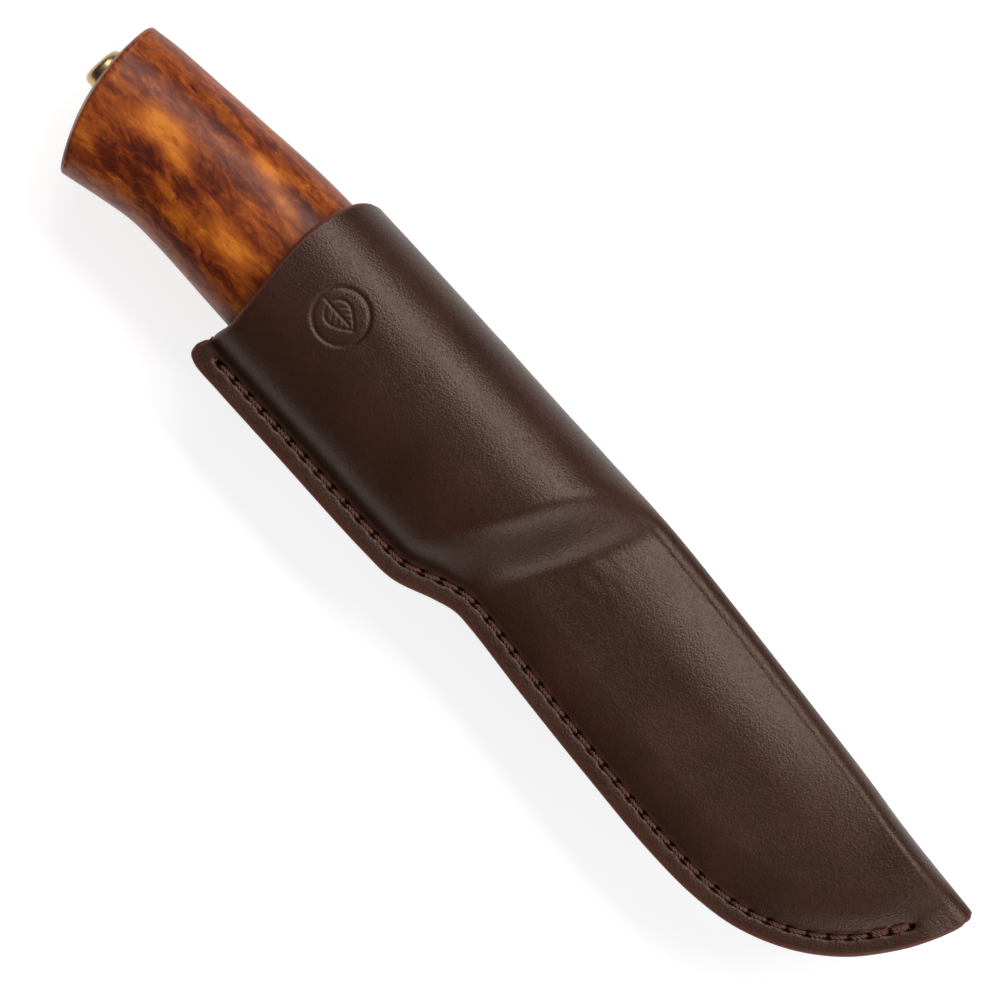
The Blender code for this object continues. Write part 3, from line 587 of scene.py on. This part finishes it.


# Places on the handle's front face where the figure is much lighter or darker, and long thin dark bands
# near its upper and lower edges that are painted shade where the rounded sides turn from the light:
# X, Y, half length, half width, change.
FIGURE_AND_EDGE_SHADE = [(-100.5, -0.9, 7.0, 3.4, 0.19), (-100.2, -7.0, 5.4, 1.7, -0.12), (-89.2, -5.8, 4.6, 2.0, -0.12),
          (-92.0, -8.3, 4.5, 1.2, 0.08), (-76.5, -6.0, 6.5, 3.2, 0.13), (-110.0, -13.9, 4.5, 2.2, 0.10),
          (-83.0, 8.6, 4.6, 1.6, 0.15), (-95.1, 7.0, 4.5, 1.0, -0.07), (-104.4, -12.5, 5.5, 1.8, -0.10),
          (-72.0, 9.6, 5.0, 0.8, -0.12), (-75.0, 6.6, 5.5, 1.3, 0.10), (-86.0, -13.2, 12.0, 2.0, -0.10),
          (-89.0, -1.5, 4.5, 2.0, -0.06), (-73.5, -11.0, 5.0, 1.6, -0.09), (-112.0, 3.0, 6.0, 3.0, -0.06),
          (-93.0, 12.0, 9.0, 1.8, -0.07), (-95.0, -3.0, 5.0, 1.6, 0.10), (-107.0, -4.0, 5.0, 2.0, 0.05),
          (-96.0, -10.4, 8.0, 1.6, -0.07), (-76.0, 12.8, 7.0, 1.2, -0.07)]
KNOT = (-103.6, 8.45, 1.5, 0.30)


def wood_material():
    """Oiled curly birch: flame-like figure over soft blotches, fine streaks and a satin surface, with
    painted shade in bands near the upper and lower edges.
    """
    n = Nodes("curly_birch")
    big = n.noise(n.stretched((62.0, 125.0, 125.0)), 1.0, 2.0, 0.5, 1.3)
    flame = n.noise(n.stretched((190.0, 470.0, 470.0), (0.0, 0.0, 0.35)), 1.0, 6.0, 0.66, 1.1)
    streak = n.noise(n.stretched((460.0, 2500.0, 2500.0), (0.0, 0.0, 0.08)), 1.0, 4.0, 0.65, 0.6)
    fibre = n.noise(n.stretched((1300.0, 8500.0, 8500.0)), 1.0, 2.0, 0.6)
    value = n.math("MULTIPLY", big, 0.31)
    value = n.math("MULTIPLY_ADD", flame, 0.44, value)
    value = n.math("MULTIPLY_ADD", streak, 0.19, value)
    value = n.math("MULTIPLY_ADD", fibre, 0.06, value)
    # the listed patches: wood figure, and painted shade in the long bands near the edges
    for x, y, half_length, half_width, change in FIGURE_AND_EDGE_SHADE:
        value = n.math("ADD", value, figure_or_shade_patch(n, x, y, half_length, half_width, change, flame))
    colour = n.ramp(value, [(0.33, (0.060, 0.0090, 0.0035)), (0.42, (0.115, 0.0170, 0.0045)),
                            (0.49, (0.205, 0.038, 0.0065)), (0.58, (0.37, 0.088, 0.0105)),
                            (0.70, (0.66, 0.205, 0.0230))])
    knot = figure_or_shade_patch(n, *KNOT, 1.0, None)
    colour = n.blend(n.math("MULTIPLY", knot, 0.9), colour, (0.012, 0.006, 0.005))
    rough = n.range(streak, 0.3, 0.7, 0.34, 0.44)
    pores = n.bump(fibre, 0.00003, 0.35)
    n.set(Base_Color=colour, Roughness=rough, Normal=pores, Specular_IOR_Level=0.22)
    return n.material


def figure_or_shade_patch(n, x, y, half_length, half_width, change, ragged):
    """A soft oval on the front face, its border made uneven by the wood's own noise."""
    centre = [(x + SHIFT[0]) * MM, (y + SHIFT[1]) * MM, (11.0 + SHIFT[2]) * MM]
    offset = n.add("ShaderNodeVectorMath", {0: n.place, 1: centre}, operation="SUBTRACT").outputs[0]
    scale = (1.0 / (half_length * MM), 1.0 / (half_width * MM), 1.0 / 0.010)
    scaled = n.add("ShaderNodeVectorMath", {0: offset, 1: scale}, operation="MULTIPLY").outputs[0]
    reach = n.add("ShaderNodeVectorMath", {0: scaled}, operation="LENGTH").outputs["Value"]
    if ragged is not None:
        reach = n.math("ADD", reach, n.math("MULTIPLY_ADD", ragged, 1.6, -0.8))
    return n.range(reach, 0.35, 1.25, change, 0.0)


def steel_material():
    """Satin ground steel, with grinding marks across the blade."""
    n = Nodes("ground_steel")
    marks = n.noise(n.stretched((9000.0, 160.0, 160.0)), 1.0, 3.0, 0.65)
    cloud = n.noise(n.place, 90.0, 2.0)
    colour = n.blend(n.range(cloud, 0.3, 0.7), (0.50, 0.50, 0.51), (0.62, 0.62, 0.63))
    rough = n.range(marks, 0.3, 0.7, 0.22, 0.36)
    n.set(Base_Color=colour, Metallic=1.0, Roughness=rough, Normal=n.bump(marks, 0.00002, 0.5))
    return n.material


def brass_material():
    """Handled brass: warm, a little dull, with fine scratches."""
    n = Nodes("handled_brass")
    scratch = n.noise(n.stretched((2500.0, 700.0, 700.0), (0.4, 0.3, 0.2)), 1.0, 3.0, 0.7)
    stain = n.noise(n.place, 420.0, 3.0)
    colour = n.blend(n.range(stain, 0.4, 0.75, 0.0, 0.6), (0.58, 0.40, 0.21), (0.36, 0.22, 0.11))
    rough = n.range(scratch, 0.3, 0.7, 0.30, 0.42)
    n.set(Base_Color=colour, Metallic=1.0, Roughness=rough, Normal=n.bump(scratch, 0.00002, 0.4))
    return n.material


# ---- the sheath's pieces ----
RIM = 0.75


def sheath_side(edge, fold, normals, mouth, face_rows):
    """Grid of one side's smooth face, from the flange's edge to the fold's apex."""
    flange = [RIM, 1.3, 1.9, 2.4] + list(np.arange(2.7, 5.3, 0.2))
    flange += [5.5, 5.9, 6.4, 7.0, 7.8, 8.8, 10.0, 11.4, 13.0]
    angles = np.radians(np.linspace(90.0, 0.0, 19))[1:]
    stations = len(edge)
    span = ((fold - edge) * normals).sum(axis=1)
    rim = np.minimum(RIM, 0.3 * span)
    shrink = np.minimum(1.0, (0.5 * span - rim) / (flange[-1] - rim))
    part = [(rim + (inset - rim) * shrink) / span for inset in flange[1:]]
    part.insert(0, rim / span)
    mid = (edge + fold) / 2.0
    reach = np.minimum(fold_reach(mid[:, 0], fold[:, 1] - 5.0) / (fold[:, 1] - edge[:, 1]), 0.4)
    part += [mix(part[len(flange) - 1], 1.0 - reach, k / face_rows) for k in range(1, face_rows + 1)]
    part += [1.0 - reach * (1.0 - math.cos(a)) for a in angles]
    part = np.stack(part, axis=1)
    x = mix(edge[:, :1], fold[:, :1], part)
    y = mix(edge[:, 1:], fold[:, 1:], part)
    first = mix(edge[0], fold[0], part[0][:, None])
    pull = 1.0 - smoothstep(0.0, 0.17, np.arange(stations) / (stations - 1))
    x += pull[:, None] * (np.interp(first[:, 1], mouth[:, 1], mouth[:, 0]) - first[:, 0] + RIM)[None, :]
    x -= RIM * smoothstep(0.985, 1.0, np.arange(stations) / (stations - 1))[:, None]
    z = sheath_height(x, y)
    z[:, -1] = 0.0
    return np.stack([x, y, z], axis=2)


def make_sheath(mat):
    stations = 721
    edge = smooth_points(SHEATH_EDGE, stations)
    fold = smooth_points(SHEATH_FOLD, stations)
    mouth = smooth_points(SHEATH_MOUTH, 400)
    normals = inward_normals(edge)
    normals[:8] = (0.0, 1.0)
    front = sheath_side(edge, fold, normals, mouth, 110)
    back = sheath_side(edge, fold, normals, mouth, 35)
    sides = []
    for side, is_front in ((front, True), (back, False)):
        depth, mask = leather_relief(side[:, :, 0], side[:, :, 1], is_front)
        fade = smoothstep(0.0, 1.0, side[:, :, 2])
        sides.append((depth * fade, mask))
    back[:, :, 2] *= -1.0
    base = np.concatenate([front, back[:, -2::-1]], axis=1)
    relief = np.concatenate([sides[0][0], sides[1][0][:, -2::-1]], axis=1)
    # the hole mask, which the material paints nearly black as painted shade in the stitch holes
    hole_shade = np.concatenate([sides[0][1], sides[1][1][:, -2::-1]], axis=1)
    spare = (base.shape[1] - 1) % 3
    keep = [k for k in range(base.shape[1]) if k not in (base.shape[1] - 8, base.shape[1] - 12)[:spare]]
    base, relief, hole_shade = base[:, keep], relief[:, keep], hole_shade[:, keep]
    cut = np.zeros(relief.shape)
    cut[:1], cut[-1:], cut[:, :1], cut[:, -1:] = 0.7, 0.7, 0.5, 0.5
    sheath = leather_shell("sheath_leather", base, relief, LEATHER, RIM, mat, {"hole_shade": hole_shade, "cut": cut})
    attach(sheath, "sheath")
    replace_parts(sheath, "sheath_body")
    return sheath


def make_welt(mat):
    """The seam's middle layer, its outer edge rounded by trimming and burnishing."""
    edge = smooth_points(SHEATH_EDGE, 700)
    normals = inward_normals(edge)
    keep = (edge[:, 0] > -64.5) & ((edge[:, 1] < 5.6) | (edge[:, 0] < 90.0))
    edge, normals = edge[keep], normals[keep]
    half = SEAM_HALF - LEATHER - 0.03
    profile = [(6.0, -half), (6.0, half), (0.5, half), (0.3, half * 0.7), (0.22, 0.0),
               (0.3, -half * 0.7), (0.5, -half)]
    uneven = 0.05 * value_noise(edge[:, 0], edge[:, 1], 2.5, 9)
    points = []
    for inset, z in profile:
        place = edge + normals * (inset + (uneven[:, None] if inset < 1.0 else 0.0))
        points.append(np.column_stack([place, np.full(len(place), z)]))
    points = np.stack(points, axis=1)
    count = len(profile)
    faces = [tuple(f) for f in grid_quads(len(edge), count, closed=True)]
    points = points.reshape(-1, 3)
    faces += [tuple(range(count)), tuple(range(len(points) - count, len(points)))[::-1]]
    piece = make_mesh("welt_strip", points, faces, mat, {"cut": np.ones(len(points))}, sharp=50)
    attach(piece, "sheath")
    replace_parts(piece, "welt")


def thread_route(side):
    """Points of the route: over each stitch and down into each hole."""
    top = SEAM_HALF - GROOVE_DEPTH + THREAD_LIFT
    half = [(1.25, top + 0.06), (0.95, top - 0.12), (0.62, top - 0.85), (0.3, top - 1.45)]
    steps = [(-along, z) for along, z in half] + [(0.0, top - 1.6)] + half[::-1]
    route = []
    last = len(CENTRES) - 1
    for k, ((x, y), (dx, dy)) in enumerate(zip(CENTRES, DIRECTIONS)):
        for along, z in steps:
            if (k == 0 and along < -0.1) or (k == last and along > 0.1):
                continue
            route.append((x + dx * along, y + dy * along, z * side))
    return route


def locked_stitch(k, side):
    """The second thread over stitch k, beside the first, where the seam's end is locked."""
    (x, y), (dx, dy) = CENTRES[k], DIRECTIONS[k]
    x, y = x - dy * LOCK_ASIDE, y + dx * LOCK_ASIDE
    span = math.dist(CENTRES[k], CENTRES[k + 1])
    top = SEAM_HALF + 0.12
    half = [(0.35, top - 1.3), (0.65, top - 0.6), (0.95, top - 0.05)]
    steps = half + [(span / 2, top)] + [(span - along, z) for along, z in half[::-1]]
    return smooth_points([(x + dx * along, y + dy * along, z * side) for along, z in steps], 70)


def make_thread(name, side, mat):
    last = len(CENTRES) - 1
    paths = [smooth_points(thread_route(side), 2600)]
    paths += [locked_stitch(k, side) for k in (last - 2, last - 1)]
    thread = ply_thread(name, paths, PLY_RADIUS, PLY_LAY, PLY_TURN, 2, mat)
    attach(thread, "sheath")
    return thread


def loop_height(x, y):
    """Depth of the belt loop's inner face below the seam's middle plane."""
    up = smoothstep(LOOP_TOP_TAB[1], LOOP_FLAT_X[0], x)
    up *= 1.0 - smoothstep(LOOP_FLAT_X[1], LOOP_LOW_TAB[0], x)
    across = 2.0 * (y - LOOP_Y[0]) / (LOOP_Y[1] - LOOP_Y[0]) - 1.0
    return mix(sheath_height(x, y) + GAP, LOOP_FLAT_Z - LOOP_CUP * (1.0 - across * across), up)


def make_belt_loop(mat):
    """Leather strap: clipped corners, rounded cut edges and a crease pressed beside each long edge."""
    rows, columns = 241, 61
    corner, rim = 4.5, 0.7
    x = np.linspace(LOOP_TOP_TAB[0] + rim, LOOP_LOW_TAB[1] - rim, rows)
    from_end = np.minimum(x - x[0], x[-1] - x)
    slope = np.clip(from_end / corner, 0.0, 1.0)
    draw_in = 0.7 * corner * (1.0 - slope) ** 1.5
    across = np.linspace(0.0, 1.0, columns)
    low, high = LOOP_Y[0] + rim + draw_in, LOOP_Y[1] - rim - draw_in
    y = mix(low[:, None], high[:, None], across[None, ::-1])
    x = np.repeat(x[:, None], columns, axis=1)
    inner_face = np.stack([x, y, -loop_height(x, y)], axis=2)
    base = inner_face + grid_normals(inner_face) * LOOP_LEATHER
    from_edge = np.minimum(y - low[:, None], high[:, None] - y)
    crease = 0.16 * bell(from_edge - 1.7, 0.3)
    waves = 0.04 * value_noise(x, y, 9.0, 12) * (from_edge > 0.8)
    flat = smoothstep(LOOP_FLAT_X[0] - 2.0, LOOP_FLAT_X[0], x)
    flat *= 1.0 - smoothstep(LOOP_FLAT_X[1], LOOP_FLAT_X[1] + 2.0, x)
    rivet_press = np.zeros(x.shape)
    for rivet_x in RIVET_X:
        reach = np.hypot(x - rivet_x, y - RIVET_Y)
        press = 0.22 * (1.0 - smoothstep(RIVET_CAP_R - 0.4, RIVET_CAP_R + 1.4, reach))
        rivet_press = np.maximum(rivet_press, press)
    relief = crease + np.abs(waves) * (1.0 - flat) + rivet_press
    cut = np.zeros(relief.shape)
    cut[:1], cut[-1:], cut[:, :1], cut[:, -1:] = 0.7, 0.7, 0.7, 0.7
    loop = leather_shell("belt_strap", base, relief, LOOP_LEATHER, rim, mat, {"cut": cut})
    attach(loop, "sheath")
    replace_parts(loop, "belt_loop")


def turned(name, profile, centre, axis, mat, steps=64):
    """A turned piece from (radius, height) pairs, from the outer face's middle to the back's."""
    axis = np.array(axis, dtype=float)
    side = np.cross(axis, (0.0, 0.0, 1.0) if abs(axis[2]) < 0.5 else (0.0, 1.0, 0.0))
    side /= np.linalg.norm(side)
    third = np.cross(axis, side)
    angle = 2.0 * np.pi * np.arange(steps) / steps
    around = np.cos(angle)[:, None] * side + np.sin(angle)[:, None] * third
    points = [np.array(centre) + axis * h + around * r for r, h in profile]
    faces = [tuple(f) for f in grid_quads(len(profile), steps, closed=True)]
    faces += [tuple(range(steps))[::-1]]
    last = (len(profile) - 1) * steps
    faces += [tuple(range(last, last + steps))]
    return make_mesh(name, np.concatenate(points), [f[::-1] for f in faces], mat, sharp=40)


def make_rivets(mat):
    for label, x in zip(("upper", "lower"), RIVET_X):
        outside = float(sheath_height(np.array([x]), np.array([RIVET_Y]))[0])
        loop_face = outside + GAP + LOOP_LEATHER + 0.05
        dome = [(0.01, 1.95)] + [(RIVET_CAP_R * 0.92 * math.sin(a), 0.55 + 1.4 * math.cos(a))
                                 for a in np.radians([12, 25, 38, 51, 64, 77, 86])]
        dome += [(RIVET_CAP_R * 0.955, 0.5), (RIVET_CAP_R * 0.995, 0.36), (RIVET_CAP_R, 0.18),
                 (RIVET_CAP_R * 0.97, 0.02), (0.01, 0.0)]
        cap = turned("rivet_dome_" + label, dome, (x, RIVET_Y, -loop_face), (0, 0, -1), mat)
        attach(cap, "sheath")
        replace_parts(cap, "rivet_cap_" + label)


# ---- the knife's pieces ----
def superoval(count, power):
    angle = 2.0 * np.pi * np.arange(count) / count
    c, s = np.cos(angle), np.sin(angle)
    return np.sign(c) * np.abs(c) ** (2.0 / power), np.sign(s) * np.abs(s) ** (2.0 / power)


def make_handle(mat):
    """Oval lofted along the handle, ending in a convex slanted butt with softened edges."""
    stations, count = 170, 120
    spine = smooth_points(HANDLE_SPINE, stations)
    edge = smooth_points(HANDLE_EDGE, stations)
    c, s = superoval(count, 2.3)
    rings = []
    softening = [(1.0, 0.0), (0.998, 0.25), (0.99, 0.5), (0.977, 0.68), (0.955, 0.79), (0.92, 0.85)]
    softening += [(k, 0.86) for k in (0.85, 0.7, 0.5, 0.3, 0.12, 0.01)]
    for i in list(range(stations)) + [stations - 1] * len(softening):
        centre, across = (spine[i] + edge[i]) / 2.0, (spine[i] - edge[i]) / 2.0
        half = float(line_at(HANDLE_HALF_DEPTH, centre[0]))
        size = np.hypot(*across)
        unit = across / size
        out = np.array([-unit[1], unit[0]])
        scale, rise = softening[len(rings) - stations] if len(rings) >= stations else (1.0, 0.0)
        grown = (i / (stations - 1)) ** 3
        push = grown * (BUTT_BULGE * (1.0 - (c * scale) ** 2) - BUTT_CROWN * (s * scale) ** 2) + rise
        xy = centre + across * (c * scale)[:, None] + out * push[:, None]
        rings.append(np.column_stack([xy, half * s * scale]))
    points = np.concatenate(rings)
    faces = [tuple(f) for f in grid_quads(len(rings), count, closed=True)]
    faces += [tuple(range(count))[::-1], tuple(range(len(points) - count, len(points)))]
    handle = make_mesh("birch_handle", points, faces, mat, sharp=60)
    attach(handle, "knife")
    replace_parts(handle, "handle")


def make_cap(brass, steel):
    height = CAP_BASE_X - CAP_CROWN_X
    shoulder = 1.25
    profile = [(1.75, height - 0.03), (CAP_R * 0.55, height - 0.06), (CAP_R * 0.7, height - 0.14)]
    profile += [(CAP_R - shoulder * (1 - math.sin(a)), height - 0.2 - shoulder * (1 - math.cos(a)))
                for a in np.radians([20, 35, 50, 65, 80, 90])]
    profile += [(CAP_R, 0.2), (CAP_R - 0.2, 0.0), (0.01, 0.0)]
    centre = (CAP_BASE_X, TANG_Y, 0.0)
    profile = [(0.01, height - 0.35), (1.55, height - 0.35), (1.6, height - 0.06)] + profile
    cap = turned("brass_cap", profile, centre, (-1, 0, 0), brass, steps=96)
    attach(cap, "knife")
    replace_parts(cap, "butt_cap")
    peen = [(0.01, height - 0.02), (0.7, height - 0.04), (1.2, height - 0.1), (1.45, height - 0.2),
            (1.5, height - 0.45), (0.01, height - 0.5)]
    end = turned("peened_tang_end", peen, centre, (-1, 0, 0), steel, steps=48)
    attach(end, "knife")


def make_bolster(mat):
    back, front = BOLSTER_X
    c, s = superoval(96, 2.2)
    rings = []
    ramp = [(back, 0.975), (back + 0.12, 0.993), (back + 0.3, 1.0), (front - 0.7, 1.0),
            (front - 0.35, 0.988), (front - 0.12, 0.965), (front, 0.93)]
    for x, scale in ramp:
        rings.append(np.column_stack([np.full(96, x), BOLSTER_Y + BOLSTER_HALF[0] * scale * c,
                                      BOLSTER_HALF[1] * scale * s]))
    faces = [tuple(f) for f in grid_quads(len(rings), 96, closed=True)]
    faces += [tuple(range(96))[::-1], tuple(range(96 * (len(rings) - 1), 96 * len(rings)))]
    piece = make_mesh("brass_bolster", np.concatenate(rings), [f[::-1] for f in faces], mat, sharp=30)
    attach(piece, "knife")
    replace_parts(piece, "bolster")


def make_blade(mat):
    """Blade with one flat bevel on each face, a short ricasso, and the stick tang behind it."""
    sections = []
    for x in (TANG_END_X, -112.0, -86.0, -60.0, -30.0, TANG_START_X):
        half = float(line_at(TANG_HALF_WIDTH, x))
        spine, edge = TANG_Y + half, TANG_Y - half
        sections.append(blade_ring(x, spine, edge, edge + 0.4, TANG_HALF_Z, 0.9))
    shoulder_x, ricasso_x = -6.0, -1.0
    spine, edge = (float(line_at(points, shoulder_x)) for points in (BLADE_SPINE, BLADE_EDGE))
    for x in (shoulder_x, ricasso_x):
        sections.append(blade_ring(x, spine, edge, edge + 0.4, BLADE_HALF_Z, 0.9))
    for x in np.concatenate([np.linspace(0.6, 60.0, 40), np.linspace(61.0, 101.9, 70)]):
        spine, edge = float(line_at(BLADE_SPINE, x)), float(line_at(BLADE_EDGE, x))
        taper = mix(1.0, 0.3, float(smoothstep(55.0, 102.0, x)))
        shoulder = mix(edge, spine, min(0.34, 8.5 / max(spine - edge, 0.1)))
        sections.append(blade_ring(x, spine, edge, shoulder, BLADE_HALF_Z * taper, 0.03))
    count = len(sections[0])
    faces = [tuple(f) for f in grid_quads(len(sections), count, closed=True)]
    last = count * (len(sections) - 1)
    faces += [tuple(range(count))[::-1], tuple(range(last, last + count))]
    blade = make_mesh("steel_blade", np.concatenate(sections), faces, mat, sharp=8)
    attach(blade, "knife")
    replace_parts(blade, "blade")


def blade_ring(x, spine, edge, shoulder, half, keen):
    """A section's ten points: eased spine, bevel shoulders and cutting edge."""
    ease = min(0.25, half * 0.4)
    keen = min(keen * half if keen > 0.5 else keen, half)
    side = [(spine, half - ease), (spine - ease, half), (shoulder, half), (edge, keen)]
    ring = [(y, z) for y, z in side] + [(y, -z) for y, z in reversed(side)]
    return np.array([(x, y, z) for y, z in ring])[::-1]


# ---- stage, light and camera ----
VIEW_TURN = 48.5     # degrees from the picture's right to the blade's direction, turning downward
VIEW_CENTRE = (-5.77, 0.15)
VIEW_WIDTH = 192.3   # width in view at the seam's middle plane
LENS = 300.0
SENSOR = 36.0


def make_camera():
    data = bpy.data.cameras.new("camera")
    data.lens = LENS
    data.sensor_width = SENSOR
    camera = bpy.data.objects.new("camera", data)
    distance = VIEW_WIDTH * LENS / SENSOR
    place = (VIEW_CENTRE[0], VIEW_CENTRE[1], distance)
    camera.location = [(place[k] + SHIFT[k]) * MM for k in range(3)]
    camera.rotation_euler = (0.0, 0.0, math.radians(VIEW_TURN))
    bpy.context.scene.collection.objects.link(camera)
    bpy.context.scene.camera = camera


def area_light(name, azimuth, elevation, distance, size, power, colour=(1.0, 1.0, 1.0)):
    """A rectangular soft light. Azimuth 0 lies towards the blade's point and 90 towards its spine."""
    data = bpy.data.lights.new(name, "AREA")
    data.shape = "RECTANGLE"
    data.size, data.size_y = size
    data.energy = power
    data.color = colour
    light = bpy.data.objects.new(name, data)
    a, e = math.radians(azimuth), math.radians(elevation)
    back = np.array([math.cos(a) * math.cos(e), math.sin(a) * math.cos(e), math.sin(e)])
    light.location = back * distance
    light.rotation_euler = Vector(back).to_track_quat("Z", "Y").to_euler()
    bpy.context.scene.collection.objects.link(light)


def make_stage():
    """A plain floor, nearly burnt out round the knife by its own painted glow, which is strongest near
    the knife, fades outwards and washes out the shadows; and soft studio lights.
    """
    n = Nodes("glowing_floor")
    speck = n.noise(n.place, 40.0, 2.0)
    away = n.add("ShaderNodeVectorMath", {0: n.place}, operation="LENGTH").outputs["Value"]
    # painted light: the floor's emission glows strongest round the knife and fades outwards, washing out
    # cast shadows
    n.set(Base_Color=n.blend(speck, (0.43, 0.43, 0.43), (0.47, 0.47, 0.47)), Roughness=0.9,
          Specular_IOR_Level=0.0, Emission_Color=(1.0, 1.0, 1.0, 1.0),
          Emission_Strength=n.range(away, 0.16, 0.80, 0.78, 0.28))
    half = 3.0
    mesh = bpy.data.meshes.new("floor")
    corners = [(-half, -half, 0), (half, -half, 0), (half, half, 0), (-half, half, 0)]
    mesh.from_pydata(corners, [], [(0, 1, 2, 3)])
    mesh.materials.append(n.material)
    floor = bpy.data.objects.new("floor", mesh)
    bpy.context.scene.collection.objects.link(floor)
    world = bpy.data.worlds.new("studio")
    world.use_nodes = True
    world.node_tree.nodes["Background"].inputs["Color"].default_value = (1.0, 1.0, 1.0, 1.0)
    world.node_tree.nodes["Background"].inputs["Strength"].default_value = 0.04
    bpy.context.scene.world = world
    area_light("key", 90.0, 57.0, 1.1, (1.4, 0.34), 13.0, (1.0, 0.96, 0.92))
    area_light("fill", -14.0, 30.0, 1.2, (1.05, 0.45), 7.0, (0.94, 0.95, 1.0))
    area_light("overhead", 0.0, 89.9, 2.2, (2.4, 2.4), 2.4)


# ---- build ----
leather = leather_material("moulded_leather", 1.0)
strap_leather = leather_material("strap_leather", 0.6)
edge_leather = leather_material("burnished_edge", 0.5)
thread = thread_material()
birch = wood_material()
steel = steel_material()
brass = brass_material()

make_sheath(leather)
make_welt(edge_leather)
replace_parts(make_thread("front_lockstitch", 1.0, thread), "seam_thread_front")
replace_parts(make_thread("back_lockstitch", -1.0, thread), "seam_thread_back")
make_belt_loop(strap_leather)
make_rivets(brass)
make_handle(birch)
make_cap(brass, steel)
make_bolster(brass)
make_blade(steel)
for label in ("upper", "lower"):
    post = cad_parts["rivet_post_" + label]
    post.data.materials.clear()
    post.data.materials.append(brass)

make_stage()
make_camera()
bpy.context.scene.view_settings.view_transform = "Standard"
